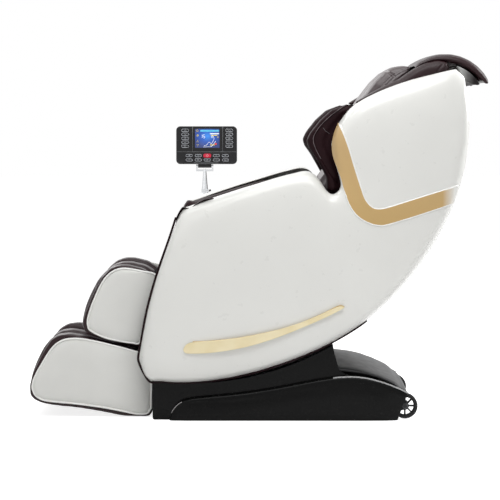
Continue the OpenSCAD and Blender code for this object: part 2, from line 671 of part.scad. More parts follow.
module arm_pad() color(leather) {
    n = len(arm_cap);
    out = [for (i = [0:n - 1]) let (t = [arm_cap[i][0], arm_cap[i][1]], f = arm_foot[i], e = (i == 0 || i == n - 1) ? 1 : 0,
            at = function(s, y, dz) let (p = f + (t - f) * s) [p[0], -y, p[1] + dz])
        [at(0, 252 + 20 * e, 0), at(0.06, 240 + 16 * e, 0), at(0.4, 236 + 16 * e, 0), at(0.8, 238 + 14 * e, 0),
            at(0.93, 241 + 12 * e, 0), at(1, 252 + 8 * e, 0), at(1, 285, 3 - 2 * e), at(1, 312, 2 - e), at(1, 320, -2)]];
    inn = [for (i = [0:n - 1]) let (t = [arm_cap[i][0], arm_cap[i][1]], f = arm_foot[i],
            at = function(s, y, dz) let (p = f + (t - f) * s) [p[0], -y, p[1] + dz])
        [at(0, 288, 1), at(0.06, 293, 0), at(0.4, 295, 0), at(0.8, 295.5, 0), at(0.93, 296, -4),
            at(1, 296.5, -12), at(1, 298, -5), at(1, 301, -3), at(1, 312, -3.4)]];
    skin(out, inn);
}
module left_arm_pad() arm_pad();
module right_arm_pad() right() arm_pad();

// Padded cheek of the head section, between shell and hood
head_top = [[300, 1004], [342, 1028], [388, 1052], [436, 1072], [480, 1096], [520, 1118], [560, 1128], [588, 1124],
    [598, 1110]];
head_low = [[304, 998], [346, 995], [394, 1002], [440, 1024], [486, 1042], [524, 1052], [556, 1058], [580, 1064],
    [592, 1072]];

module head_pad() color(leather) {
    n = len(head_top);
    grid = function(ys) [for (i = [0:n - 1]) [for (j = [0:4])
        let (p = head_low[i] + (head_top[i] - head_low[i]) * [0, 0.3, 0.7, 0.92, 1][j], e = (i == 0 || i == n - 1) ? 0.4 : 1)
        [p[0], -(262 + (ys[j] - 262) * e), p[1]]]];
    skin(grid([292, 292, 291, 285, 268]), grid([236, 230, 231, 238, 256]));
}
module left_head_pad() head_pad();
module right_head_pad() right() head_pad();

// Hood: an arched canopy over the head, drawn down at its sides
hood_c = [588, 1000];
hood_r = 155;
hood_cols = [-1, -0.96, -0.85, -0.6, -0.3, 0, 0.3, 0.6, 0.85, 0.96, 1];
function hood_at(r, a) = hood_c + r * [sin(a), cos(a)];

module hood_pad() color(leather) {
    angles = [-43, -40, -32, -20, -8, 6, 18, 30, 42, 52, 60, 64, 66];
    thick = function(a) 8 + 20 * ease((a + 45) / 60) - 12 * ease((a - 50) / 16);
    face = function(side) [for (a = angles) [for (c = hood_cols)
        let (end = max(rim(a + 43.5, 6, 7), rim(66.5 - a, 4, 6)), k = abs(c),
            mid = hood_r - thick(a) / 2 - 5 * pow(k, 4),
            r = mid + side * max(1.5, (thick(a) / 2 - end) * (1 - 0.85 * rim(1 - k, 0.1, 1))),
            p = hood_at(r, a))
        [p[0], c * (274 - 12 * ease((-20 - a) / 30)), p[1]]]];
    skin(face(1), face(-1));
}

module hood_shell() color(white) {
    angles = [16, 20, 28, 36, 44, 52, 58, 61];
    top = [for (a = angles) [for (c = hood_cols)
        let (p = hood_at(hood_r - 30 - 5 * pow(abs(c), 4), a)) [p[0], c * 268, p[1]]]];
    low = [for (i = [0:len(angles) - 1]) [for (c = hood_cols)
        let (a = angles[i], deep = [34, 40, 50, 56, 57, 50, 42, 36][i],
            p = hood_at(hood_r - deep - 6 * pow(abs(c), 4), a)) [p[0], c * 262, p[1]]]];
    skin(top, low);
}

// ---------------------------------------------------------------- massage mechanism

carriage_at = 190;              // middle of the carriage up the back, at rest
carriage_n = -152;
channel_n = [-172, -132];
channel_y = [150, 176];

// Places a child so that its Z runs up the back and its -X points at the sitter
module on_back(u, n) translate([back_at(u, n)[0], 0, back_at(u, n)[1]]) rotate([0, 37.3, 0]) children();

module back_rails() color("#a0a2a4") for (s = [0, 1]) mirror([0, s, 0]) on_back(0, 0) {
    difference() {
        translate([-channel_n[1], -channel_y[1], 60]) cube([channel_n[1] - channel_n[0], channel_y[1] - channel_y[0], 740]);
        translate([-channel_n[1] + 4, -channel_y[1] + 4, 59]) cube([32, 30, 742]);
    }
    // pads that rest on the cross tubes
    for (u = [90, 760]) translate([-channel_n[0], -cheek_y[0] + 4, u - 14])
        cube([channel_n[0] - cross_n - tube_r, 60, 28]);
}

module massage_carriage() color(grey) on_back(carriage_at, carriage_n) {
    difference() {
        translate([-4, -140, -110]) cube([8, 280, 220]);
        // slots that the turning heads reach through
        for (y = [-62, 62]) translate([-10, y - 18, -42]) cube([20, 36, 84]);
        for (z = [-80, 80]) translate([-10, -90, z - 14]) cube([20, 180, 28]);
    }
    // bearing blocks of the kneading shaft
    for (y = [-128, 116]) difference() {
        translate([-30, y, -24]) cube([26, 12, 48]);
        translate([-18, y - 1, 0]) rotate([-90, 0, 0]) cylinder(r = 8 + run, h = 14);
    }
    // guide wheels that run in the channels
    for (s = [-1, 1], z = [-90, 90]) {
        translate([0, s * 139, z]) rotate([-90 * s, 0, 0]) cylinder(r = 5, h = 10);
        translate([0, s * 155, z]) rotate([-90 * s, 0, 0]) cylinder(r = 14.5, h = 14);
        translate([0, s * 145, z]) rotate([-90 * s, 0, 0]) cylinder(r = 5, h = 12);
    }
    // drive motors
    translate([21, -42, 0]) rotate([-90, 0, 0]) cylinder(r = 18, h = 82);
    translate([19, 104, 16]) cylinder(r = 16, h = 80);
}

module kneading_shaft() color(steel) on_back(carriage_at, carriage_n) {
    translate([-18, -134, 0]) rotate([-90, 0, 0]) cylinder(r = 8, h = 268);
    // tilted hubs and their massage heads
    for (s = [-1, 1]) translate([-18, s * 62, 0]) {
        rotate([-90 + s * 12, 0, 0]) cylinder(r = 22, h = 14, center = true);
        for (q = [-1, 1]) hull() {
            translate([0, 0, 0]) rotate([-90, 0, 0]) cylinder(r = 10, h = 10, center = true, $fn = 24);
            translate([0, 0, q * 26]) rotate([-90, 0, 0]) cylinder(r = 9, h = 20, center = true, $fn = 24);
        }
    }
}

// ---------------------------------------------------------------- leg rest

leg_a = 15.66;
leg_e = [-sin(leg_a), -cos(leg_a)];     // down the leg
leg_f = [-cos(leg_a), sin(leg_a)];      // out of the leg, forwards
function leg_at(e, f) = knee + e * leg_e + f * leg_f;
module on_leg(e, f) translate([leg_at(e, f)[0], 0, leg_at(e, f)[1]]) rotate([0, leg_a, 0]) children();

rod_r = 9;
rod_y = 80;
sleeve_f = -26;

leg_motor = [-292, 322];

module leg_gearmotor() color(grey) {
    difference() {
        union() {
            bar(knee, 17, -206, -178);
            across(-200, -186) hull() {
                translate(knee) circle(r = 17);
                translate(leg_motor) circle(r = 20);
            }
        }
        bar(knee, knee_r + run, -230, -170);
    }
    bar(leg_motor, 19, -186, -118);
    bar(leg_motor, 15, -118, -104);
    // lug to the cheek plate
    translate([leg_motor[0] - 12, -208, leg_motor[1] - 8]) cube([24, 8, 16]);
}

module leg_frame() color(steel) {
    bar(knee, knee_r, -222, 222);
    for (s = [-1, 1]) {
        // guide sleeve of the foot slide
        on_leg(0, sleeve_f) translate([0, s * rod_y, -215]) difference() {
            cylinder(r = 13, h = 175);
            translate([0, 0, -1]) cylinder(r = rod_r + run, h = 177);
        }
        // arm from the shaft to the sleeve and the calf board
        on_leg(0, 0) across(s * (rod_y + 17) - 5, s * (rod_y + 17) + 5)
            polygon([[-9, 0], [9, 0], [14, -36], [34, -50], [34, -84], [2, -96], [-2, -40]]);
    }
    // board behind the calf pad
    on_leg(0, 0) difference() {
        translate([0, -182, -236]) cube([8, 364, 206]);
        for (y = [-150, -40, 70]) translate([-1, y, -190]) cube([10, 80, 120]);
    }
}

// Profiles of the leg rest as [e, f] points, from the top rear over the front to the bottom rear
calf_line = [[14, 24], [2, 60], [4, 106], [12, 134], [28, 156], [56, 174], [98, 188], [140, 195], [184, 199],
    [220, 198], [242, 186], [252, 160]];
calf_floor = [[30, 46], [32, 52], [40, 56], [56, 58], [76, 59], [100, 60], [128, 60], [156, 60], [184, 60],
    [210, 60], [234, 60], [250, 60]];
calf_back = [[30, 6], [36, 6], [50, 6], [64, 6], [80, 6], [104, 6], [130, 6], [156, 6], [184, 6], [210, 6],
    [232, 6], [248, 6]];
wall_in = leg_half - 12 - leg_wall;
// Across the leg rest: [y, 1 on a wall and 0 in a channel]
leg_cols = [[-leg_half + 12, 0.96], [-leg_half + 16, 1], [-wall_in - 12, 1], [-wall_in - 2, 0.93], [-wall_in, 0.4],
    [-wall_in + 10, 0], [-leg_middle - 10, 0], [-leg_middle, 0.4], [-leg_middle + 2, 0.9], [-leg_middle + 12, 0.96],
    [0, 0.97], [leg_middle - 12, 0.96], [leg_middle - 2, 0.9], [leg_middle, 0.4], [leg_middle + 10, 0],
    [wall_in - 10, 0], [wall_in, 0.4], [wall_in + 2, 0.93], [wall_in + 12, 1], [leg_half - 16, 1],
    [leg_half - 12, 0.96]];

module calf_pad() color(leather) {
    face = [for (i = [0:len(calf_line) - 1]) [for (c = leg_cols)
        let (p = leg_at(calf_floor[i][0], calf_floor[i][1]), q = leg_at(calf_line[i][0], calf_line[i][1]), r = p + (q - p) * c[1])
        [r[0], c[0], r[1]]]];
    rear = [for (p = calf_back) [for (c = leg_cols) let (q = leg_at(p[0], p[1])) [q[0], c[0] * 0.985, q[1]]]];
    skin(face, rear);
}

// Foot section: well floor and heel under the [e, f] outline of its side
foot_line = [[262, -30], [258, 10], [258, 40], [258, 90], [259, 140], [260, 185], [266, 224], [279, 252], [300, 273],
    [337, 290], [378, 301], [418, 306], [448, 305]];
foot_floor = [[266, -30], [262, 6], [268, 26], [400, 46], [446, 70], [452, 110], [452, 150], [450, 190], [444, 226],
    [424, 248], [400, 258], [412, 276], [450, 297]];
foot_sole = [[430, -88], [452, -76], [463, -30], [468, 10], [474, 60], [478, 100], [484, 150], [490, 190], [494, 226],
    [495, 252], [491, 278], [481, 295], [465, 300.5]];

module foot_pad() color(leather) {
    face = [for (i = [0:len(foot_line) - 1]) [for (c = leg_cols)
        let (p = leg_at(foot_floor[i][0], foot_floor[i][1]), q = leg_at(foot_line[i][0], foot_line[i][1]), r = p + (q - p) * c[1])
        [r[0], c[0], r[1]]]];
    rear = [for (p = foot_sole) [for (c = leg_cols) let (q = leg_at(p[0], p[1])) [q[0], c[0] * 0.99, q[1]]]];
    skin(face, rear);
}

// White side panel: [e, f] outline as two runs with equal counts, domed outwards
calf_side_top = [[9, 14], [10, 62], [14, 104], [21, 128], [34, 147], [56, 163], [88, 174], [130, 181], [170, 185],
    [204, 185], [223, 179], [236, 167]];
calf_side_low = [[38, 6], [60, 6], [84, 6], [106, 6], [130, 6], [152, 6], [178, 6], [204, 6], [230, 6], [238, 30],
    [243, 70], [245, 120]];
foot_side_top = [[259, -36], [262, 2], [262, 46], [263, 90], [265, 140], [269, 178], [277, 210], [290, 236],
    [311, 257], [342, 273], [377, 285], [410, 293], [438, 296], [457, 293]];
foot_side_low = [[400, -78], [422, -80], [437, -72], [447, -44], [453, 0], [461, 60], [468, 110], [475, 160],
    [481, 200], [485, 230], [486, 252], [482, 269], [476, 280], [466, 288]];

module side_panel(top, low) {
    steps = [0, 0.04, 0.14, 0.5, 0.86, 0.96, 1];
    bulge = [9, 4, 1, 0, 1, 4, 9];
    n = len(top);
    grid = function(inner) [for (i = [0:n - 1]) [for (j = [0:6])
        let (p = top[i] + (low[i] - top[i]) * steps[j], e = (i == 0 || i == n - 1) ? 9 : (i == 1 || i == n - 2) ? 2.5 : 0,
            q = leg_at(p[0], p[1]))
        [q[0], inner ? -leg_half + 11.5 : -leg_half + min(9.5, max(bulge[j], e)), q[1]]]];
    skin(grid(false), grid(true));
}

module calf_side_panels() color(white) for (s = [0, 1]) mirror([0, s, 0]) side_panel(calf_side_top, calf_side_low);
module foot_side_panels() color(white) for (s = [0, 1]) mirror([0, s, 0]) side_panel(foot_side_top, foot_side_low);

module foot_slide_rods() color("#c0c2c4") {
    for (s = [-1, 1]) on_leg(0, sleeve_f) translate([0, s * rod_y, -259]) cylinder(r = rod_r, h = 225);
    on_leg(0, sleeve_f) translate([-12, -110, -259.5]) cube([24, 220, 6]);
}

// ---------------------------------------------------------------- tablet

post_xy = [-171, -309];
arm_top_z = 716;                // armrest cap under the post
tilt_z = 803;
tablet_x = -165;
tablet_front = -320;            // outer face of the case

module tablet_foot() color("#b8babc") difference() {
    union() {
        translate([post_xy[0], post_xy[1], arm_top_z + 3.6]) rotate([0, -22, 0]) cylinder(r = 21, h = 6, center = true);
        translate([post_xy[0], post_xy[1], arm_top_z + 2]) cylinder(r = 11, h = 13);
    }
    translate([post_xy[0], post_xy[1], arm_top_z + 4]) cylinder(r = 6 + run, h = 20);
}

module tablet_post() color("#d8dadc") {
    translate([post_xy[0], post_xy[1], arm_top_z + 4.5]) cylinder(r = 6, h = 14);
    translate([post_xy[0], post_xy[1], arm_top_z + 15.5]) cylinder(r1 = 9.5, r2 = 4.5, h = 62);
    translate([post_xy[0] - 27, post_xy[1] - 4, 786]) cube([54, 8, 6]);
    for (s = [-1, 1]) translate([post_xy[0] + s * 24.5, post_xy[1], 786]) {
        translate([-2.5, -4, 0]) cube([5, 8, tilt_z - 786]);
        translate([0, 0, tilt_z - 786]) rotate([0, 90, 0]) cylinder(r = 4, h = 5, center = true);
    }
    translate([post_xy[0], post_xy[1], tilt_z]) rotate([0, 90, 0]) cylinder(r = 2.5, h = 50, center = true);
}

// Plate with round corners facing the side, centred on c
module plate(c, w, h, r, y0, y1) across(y0, y1) translate(c) {
    square([w - 2 * r, h], center = true);
    square([w, h - 2 * r], center = true);
    for (i = [-1, 1], k = [-1, 1]) translate([i * (w / 2 - r), k * (h / 2 - r)]) circle(r = r, $fn = 32);
}

side_key = [28, 10];
low_key = [25, 10];
power_size = [24, 12];
power_at = [tablet_x + 2, 835];
display = [tablet_x + 2, 889];
side_keys = [for (s = [-1, 1], i = [0:4]) [tablet_x + 2 + 69 * s, 914 - 12.4 * i]];
low_keys = concat([for (i = [-2, -1, 1, 2]) power_at + [28.2 * i, 0]],
    [for (i = [-2:2]) power_at + [28.2 * i, -13.4]]);

module tablet_case() color("#1a1a1c") difference() {
    union() {
        plate([tablet_x, 867.5], tablet_w, tablet_h, 13, tablet_front, tablet_front + tablet_t);
        // hinge lug on the post's pin
        translate([post_xy[0], post_xy[1], tilt_z]) rotate([0, 90, 0]) cylinder(r = 6, h = 42, center = true);
        translate([post_xy[0] - 18, post_xy[1] - 5, tilt_z + 2]) cube([36, 10, 10]);
    }
    translate([post_xy[0], post_xy[1], tilt_z]) rotate([0, 90, 0]) cylinder(r = 2.5 + run, h = 60, center = true);
    // display recess and key wells
    plate(display, 78, 60, 2, tablet_front - 1, tablet_front + 1.5);
    plate(power_at, power_size[0] + 0.8, power_size[1] + 0.8, 4.4, tablet_front - 1, tablet_front + 4);
    for (k = side_keys) plate(k, side_key[0] + 0.8, side_key[1] + 0.8, 4.4, tablet_front - 1, tablet_front + 4);
    for (k = low_keys) plate(k, low_key[0] + 0.8, low_key[1] + 0.8, 4.4, tablet_front - 1, tablet_front + 4);
}

module tablet_keys() color("#2c2c30") {
    for (k = side_keys) plate(k, side_key[0], side_key[1], 4, tablet_front - 1.5, tablet_front + 2.5);
    for (k = low_keys) plate(k, low_key[0], low_key[1], 4, tablet_front - 1.5, tablet_front + 2.5);
}

module power_key() color("#d8143c")
    plate(power_at, power_size[0], power_size[1], 4, tablet_front - 1.6, tablet_front + 2.5);

left_base_rail();
right_base_rail();
base_cross_tubes();
roller_brackets();
recline_gearmotor();
control_box();
air_pump();
pedestal();
left_base_cover();
right_base_cover();
rear_deck();
rear_panel();
base_feet();
front_track_rollers();
rear_track_rollers();
drive_pinion();
left_wheel();
right_wheel();
left_cheek();
right_cheek();
cabin_cross_tubes();
arc_rails();
drive_rack();
seat_board();
belly_pan();
rear_shell();
left_side_shell();
right_side_shell();
left_gold_band();
right_gold_band();
left_light_bar();
right_light_bar();
edge_trims();
seat_cushion();
back_cushion();
neck_pillow();
left_shoulder_wing();
right_shoulder_wing();
left_arm_pad();
right_arm_pad();
left_head_pad();
right_head_pad();
hood_pad();
hood_shell();
back_rails();
leg_gearmotor();
tablet_foot();
massage_carriage();
kneading_shaft();
leg_frame();
calf_pad();
calf_side_panels();
foot_pad();
foot_side_panels();
foot_slide_rods();
tablet_post();
tablet_case();
tablet_keys();
power_key();
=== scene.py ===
import bpy, json, math
import numpy as np
from mathutils import Vector, Matrix
from mathutils.bvhtree import BVHTree
from mathutils.kdtree import KDTree

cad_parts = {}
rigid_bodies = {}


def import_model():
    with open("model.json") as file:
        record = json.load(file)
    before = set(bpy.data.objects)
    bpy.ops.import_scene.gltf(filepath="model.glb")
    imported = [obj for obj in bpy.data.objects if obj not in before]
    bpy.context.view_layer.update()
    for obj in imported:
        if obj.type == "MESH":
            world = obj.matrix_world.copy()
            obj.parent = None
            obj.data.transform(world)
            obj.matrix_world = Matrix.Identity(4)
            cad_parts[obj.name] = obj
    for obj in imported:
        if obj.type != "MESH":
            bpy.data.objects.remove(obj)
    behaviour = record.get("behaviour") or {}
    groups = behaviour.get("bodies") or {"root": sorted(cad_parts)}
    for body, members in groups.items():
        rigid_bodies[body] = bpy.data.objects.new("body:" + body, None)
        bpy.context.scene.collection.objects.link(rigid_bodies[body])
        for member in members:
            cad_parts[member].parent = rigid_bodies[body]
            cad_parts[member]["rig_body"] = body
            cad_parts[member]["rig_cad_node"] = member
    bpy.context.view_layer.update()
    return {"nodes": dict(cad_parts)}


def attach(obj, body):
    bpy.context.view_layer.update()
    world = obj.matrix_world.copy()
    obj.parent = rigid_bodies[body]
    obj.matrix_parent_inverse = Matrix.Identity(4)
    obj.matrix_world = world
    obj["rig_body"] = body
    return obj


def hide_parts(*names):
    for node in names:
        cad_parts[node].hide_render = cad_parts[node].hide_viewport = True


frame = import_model()
nodes = frame["nodes"]
mm = 0.001
rayFrom = 600  # how far from the middle the rays at a side face start, in mm
farther = Vector((0, 1, 0))  # from the near side to the far one


def pick(*objects):
    if bpy.context.mode != "OBJECT":
        bpy.ops.object.mode_set(mode="OBJECT")
    bpy.ops.object.select_all(action="DESELECT")
    for o in objects:
        o.select_set(True)
    bpy.context.view_layer.objects.active = objects[-1]
    return objects[-1]


def applyAll(piece):
    pick(piece)
    for m in list(piece.modifiers):
        bpy.ops.object.modifier_apply(modifier=m.name)
    return piece


def settle(piece):
    # the place goes into the mesh and the object stays at the origin
    pick(piece)
    bpy.ops.object.transform_apply(location=True, rotation=True, scale=True)
    return piece


def editAll(piece):
    # into edit mode with the whole mesh selected
    pick(piece)
    bpy.ops.object.mode_set(mode="EDIT")
    bpy.ops.mesh.select_all(action="SELECT")


def objectMode(piece):
    bpy.ops.object.mode_set(mode="OBJECT")
    return piece


def outward(piece):
    # normals turned outwards, and out of edit mode
    bpy.ops.mesh.normals_make_consistent(inside=False)
    return objectMode(piece)


def insetFaces(piece, test, steps):
    # the faces whose normal passes the test, inset by steps of (width, height) in mm
    pick(piece)
    bpy.ops.object.mode_set(mode="EDIT")
    bpy.ops.mesh.select_mode(type="FACE")
    bpy.ops.mesh.select_all(action="DESELECT")
    objectMode(piece)
    for f in piece.data.polygons:
        f.select = bool(test(f.normal))
    bpy.ops.object.mode_set(mode="EDIT")
    for width, height in steps:
        bpy.ops.mesh.inset(thickness=width * mm, depth=height * mm)
    return objectMode(piece)


def block(name, centre, size):
    # a box at its place and size, in mm
    bpy.ops.mesh.primitive_cube_add(size=1, location=[q * mm for q in centre])
    piece = bpy.context.active_object
    piece.name = name
    piece.scale = [q * mm for q in size]
    return settle(piece)


def disc(vertices, radius, depth, turn, at):
    # a short cylinder, in mm
    bpy.ops.mesh.primitive_cylinder_add(vertices=vertices, radius=radius * mm, depth=depth * mm,
                                        rotation=turn,
                                        location=[q * mm for q in at])
    return settle(bpy.context.active_object)


copyShape = {"weld": 0.02, "flat": 70}


def copyNode(nodeName, pieceName, quads=True):
    # a welded copy of a frame node, to be dressed
    pick(nodes[nodeName])
    bpy.ops.object.duplicate(linked=False)
    piece = bpy.context.active_object
    piece.name = pieceName
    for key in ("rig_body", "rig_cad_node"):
        if key in piece:
            del piece[key]
    piece.parent = None
    piece.data.materials.clear()
    editAll(piece)
    bpy.ops.mesh.remove_doubles(threshold=copyShape["weld"] * mm)
    bpy.ops.mesh.normals_make_consistent(inside=False)
    if quads:
        flat = math.radians(copyShape["flat"])
        bpy.ops.mesh.tris_convert_to_quads(face_threshold=flat, shape_threshold=flat)
    return objectMode(piece)


def creaseSharp(piece, angle, value):
    # hold the edges that turn more than the angle
    mesh = piece.data
    crease = mesh.attributes.get("crease_edge") or mesh.attributes.new("crease_edge", "FLOAT", "EDGE")
    normals = [f.normal.copy() for f in mesh.polygons]
    sides = {}
    for f in mesh.polygons:
        for k in f.edge_keys:
            sides.setdefault(k, []).append(f.index)
    limit = math.cos(math.radians(angle))
    for i, e in enumerate(mesh.edges):
        pair = sides.get(e.key, [])
        if len(pair) == 2 and normals[pair[0]].dot(normals[pair[1]]) < limit:
            crease.data[i].value = value


def subdivide(piece, levels):
    m = piece.modifiers.new("Subdivision", "SUBSURF")
    m.levels = m.render_levels = levels
    applyAll(piece)
    bpy.ops.object.shade_smooth()
    return piece


def bevelEdges(piece, width, segments=2, angle=35):
    # edges that turn more than the angle, rounded by a width in mm
    m = piece.modifiers.new("Bevel", "BEVEL")
    m.width, m.segments, m.limit_method, m.angle_limit = width * mm, segments, "ANGLE", math.radians(angle)
    applyAll(piece)
    bpy.ops.object.shade_smooth_by_angle(angle=math.radians(40))
    return piece


def roundedCopy(nodeName, pieceName, angle, hold):
    # a copy subdivided twice, with the edges that turn more than the angle held
    piece = copyNode(nodeName, pieceName)
    creaseSharp(piece, angle, hold)
    return subdivide(piece, 2)


def bevelledCopy(nodeName, pieceName, width, segments, angle):
    return bevelEdges(copyNode(nodeName, pieceName, quads=False), width, segments, angle)


def pointsOf(mesh):
    co = np.zeros(len(mesh.vertices) * 3, np.float32)
    mesh.vertices.foreach_get("co", co)
    return co.reshape(-1, 3)


def normalsOf(mesh):
    n = np.zeros(len(mesh.vertices) * 3, np.float32)
    mesh.vertices.foreach_get("normal", n)
    return n.reshape(-1, 3)


def setPoints(mesh, co):
    mesh.vertices.foreach_set("co", co.astype(np.float32).ravel())
    mesh.update()


def relax(piece, weight, rounds, axes=(1, 1, 1), byLength=False):
    # even out the surface by the weight, along the given axes only; byLength lets near points pull more
    mesh = piece.data
    edges = np.zeros(len(mesh.edges) * 2, np.int32)
    mesh.edges.foreach_get("vertices", edges)
    a, b = edges[::2], edges[1::2]
    co = pointsOf(mesh)
    size = len(co)
    w = np.broadcast_to(np.asarray(weight, np.float32), size)[:, None] * np.array(axes, np.float32)
    pull = 1 / np.maximum(np.linalg.norm(co[a] - co[b], axis=1), 1e-5) if byLength else np.ones(len(a))
    count = np.maximum(np.bincount(a, pull, size) + np.bincount(b, pull, size), 1e-9)
    for k in range(3):
        if not axes[k]:
            continue
        x = co[:, k].astype(np.float64)
        for _ in range(rounds):
            total = np.bincount(a, pull * x[b], size) + np.bincount(b, pull * x[a], size)
            x += 0.5 * w[:, k] * (total / count - x)
        co[:, k] = x
    setPoints(mesh, co)
    return piece


def tube(name, points, radius, closed=False, resolution=3):
    # round bead or welt along a line of points, its radius in mm
    curve = bpy.data.curves.new(name, "CURVE")
    curve.dimensions = "3D"
    curve.bevel_depth, curve.bevel_resolution, curve.use_fill_caps = radius * mm, resolution, True
    s = curve.splines.new("POLY")
    s.points.add(len(points) - 1)
    for p, q in zip(s.points, points):
        p.co = (*q, 1)
    s.use_cyclic_u = closed
    piece = bpy.data.objects.new(name, curve)
    bpy.context.scene.collection.objects.link(piece)
    pick(piece)
    bpy.ops.object.convert(target="MESH")
    piece = bpy.context.active_object
    editAll(piece)
    bpy.ops.mesh.remove_doubles(threshold=0.01 * mm)
    outward(piece)
    bpy.ops.object.shade_smooth()
    return piece


def smoothLine(points, steps, closed=False):
    # rounded line through given points
    p = [Vector(q) for q in points]
    n = len(p)
    out = []
    for i in range(n if closed else n - 1):
        if closed:
            a, b, c, d = p[i - 1], p[i], p[(i + 1) % n], p[(i + 2) % n]
        else:
            a, b, c, d = p[max(i - 1, 0)], p[i], p[i + 1], p[min(i + 2, n - 1)]
        for k in range(steps):
            t = k / steps
            bend = (2 * a - 5 * b + 4 * c - d) * t * t + (-a + 3 * b - 3 * c + d) * t ** 3
            out.append(0.5 * (2 * b + (c - a) * t + bend))
    return out if closed else out + [p[-1]]


def resample(points, step):
    out, rest = [Vector(points[0])], 0.0
    for a, b in zip(points, points[1:]):
        a, b = Vector(a), Vector(b)
        length = (b - a).length
        t = step - rest
        while t <= length:
            out.append(a.lerp(b, t / length))
            t += step
        rest = length - (t - step)
    return out


def sideLine(points, y, step=3.0, closed=False):
    # rounded line in side view, x and z in mm, at a given y
    line = smoothLine([(q[0], y, q[1]) for q in points], 8, closed)
    return [Vector(q) * mm for q in resample(line, step)]


def treeOf(piece):
    mesh = piece.data
    return BVHTree.FromPolygons([v.co.copy() for v in mesh.vertices],
                                [list(f.vertices) for f in mesh.polygons])


def drop(tree, points, direction, lift=0.0):
    # the points laid on the surface along a direction, lifted in mm, with the surface's normals there
    way = Vector(direction).normalized()
    out = []
    for p in points:
        hit, normal, _, _ = tree.ray_cast(Vector(p), way)
        if hit is None:
            continue
        if normal.dot(way) > 0:
            normal = -normal
        out.append((hit + normal * (lift * mm), normal))
    return out


def bare(line):
    # a line of (point, normal) without its normals
    return [p for p, _ in line]


def laid(tree, points, lift=0.0, step=3.0, side=-1):
    # a side-view line laid on a piece from the near side, or from the far side where side is 1
    return bare(drop(tree, sideLine(points, side * rayFrom, step), (0, -side, 0), lift))


def carve(piece, lines, width, depth):
    # sewn seam: the skin pulled in along lines of points, width and depth in mm
    width, depth = width * mm, depth * mm
    points = [p for line in lines for p in resample(line, width / 3)]
    if not points:
        return piece
    kd = KDTree(len(points))
    for i, p in enumerate(points):
        kd.insert(p, i)
    kd.balance()
    mesh = piece.data
    co, normals = pointsOf(mesh), normalsOf(mesh)
    moved = co.copy()
    low, high = np.min(points, axis=0) - width, np.max(points, axis=0) + width
    for i in np.nonzero(np.all((co > low) & (co < high), axis=1))[0]:
        d = kd.find(Vector(co[i].tolist()))[2]
        if d < width:
            moved[i] -= normals[i] * depth * math.cos(0.5 * math.pi * d / width) ** 2
    setPoints(mesh, moved)
    return piece


def insideOf(polygon, x, z):
    # signed distance to a side-view outline, positive inside
    px, pz = np.array([q[0] for q in polygon]), np.array([q[1] for q in polygon])
    qx, qz = np.roll(px, -1), np.roll(pz, -1)
    inside = np.zeros(len(x), bool)
    best = np.full(len(x), 1e9)
    for ax, az, bx, bz in zip(px, pz, qx, qz):
        inside ^= ((az > z) != (bz > z)) & (x < (bx - ax) * (z - az) / (bz - az + 1e-12) + ax)
        t = ((x - ax) * (bx - ax) + (z - az) * (bz - az)) / ((bx - ax) ** 2 + (bz - az) ** 2 + 1e-12)
        t = np.clip(t, 0, 1)
        best = np.minimum(best, np.hypot(x - ax - t * (bx - ax), z - az - t * (bz - az)))
    return np.where(inside, best, -best)


def ease(t):
    return t * t * (3 - 2 * t)


def sink(piece, polygon, depth, edge):
    # a panel let into the outer face (towards -Y), its wall as wide as edge, in mm
    mesh = piece.data
    co, normals = pointsOf(mesh), normalsOf(mesh)
    d = insideOf([(q[0] * mm, q[1] * mm) for q in polygon], co[:, 0], co[:, 2])
    co[:, 1] += depth * mm * ease(np.clip(d / (edge * mm) + 0.5, 0, 1) * (normals[:, 1] < -0.25))
    setPoints(mesh, co)
    return piece


clothShape = {"frames": 20, "quality": 4, "stiffness": 12}


def puff(piece, shape, keep, grow=None):
    # foam under its cover: remeshed, drawn in a little, then swelled as cloth, each point held within cap
    m = piece.modifiers.new("Remesh", "REMESH")
    m.mode, m.voxel_size, m.use_smooth_shade = "VOXEL", shape["voxel"] * mm, True
    applyAll(piece)
    mesh = piece.data
    relax(piece, 1, 3)
    if grow is not None:
        more = grow(pointsOf(mesh), normalsOf(mesh))[:, None].astype(np.float32)
        setPoints(mesh, pointsOf(mesh) + normalsOf(mesh) * more)
    free = keep(pointsOf(mesh), normalsOf(mesh)).astype(np.float32)
    setPoints(mesh, pointsOf(mesh) - normalsOf(mesh) * (shape["shrink"] * mm) * free[:, None])
    c = piece.modifiers.new("Cloth", "CLOTH")
    c.settings.use_pressure, c.settings.uniform_pressure_force = True, shape["pressure"]
    c.settings.quality = clothShape["quality"]
    c.settings.tension_stiffness = c.settings.compression_stiffness = clothShape["stiffness"]
    c.settings.effector_weights.gravity = 0
    c.point_cache.frame_start, c.point_cache.frame_end = 1, clothShape["frames"]
    start = pointsOf(mesh)
    for f in range(1, clothShape["frames"] + 1):
        bpy.context.scene.frame_set(f)
    applyAll(piece)
    bpy.context.scene.frame_set(1)
    mesh = piece.data
    move = pointsOf(mesh) - start
    size = np.linalg.norm(move, axis=1, keepdims=True) + 1e-9
    setPoints(mesh, start + move * np.minimum(1, shape["cap"] * mm / size) * free[:, None])
    relax(piece, 1, 2)
    return subdivide(piece, 1)


def facing(direction, half, edge, low):
    # free to swell where the skin looks along the direction, less and less from half - edge to the sides
    return lambda p, n: (np.clip(direction(n) * 1.2, 0, 1)
                         * np.clip((half - np.abs(p[:, 1])) / edge, low, 1))


def mirrored(piece, name):
    # the same piece for the other side of the chair
    pick(piece)
    bpy.ops.object.duplicate(linked=False)
    other = bpy.context.active_object
    other.name = name
    other.parent = None
    other.data.transform(Matrix.Scale(-1, 4, (0, 1, 0)))
    editAll(other)
    return outward(other)


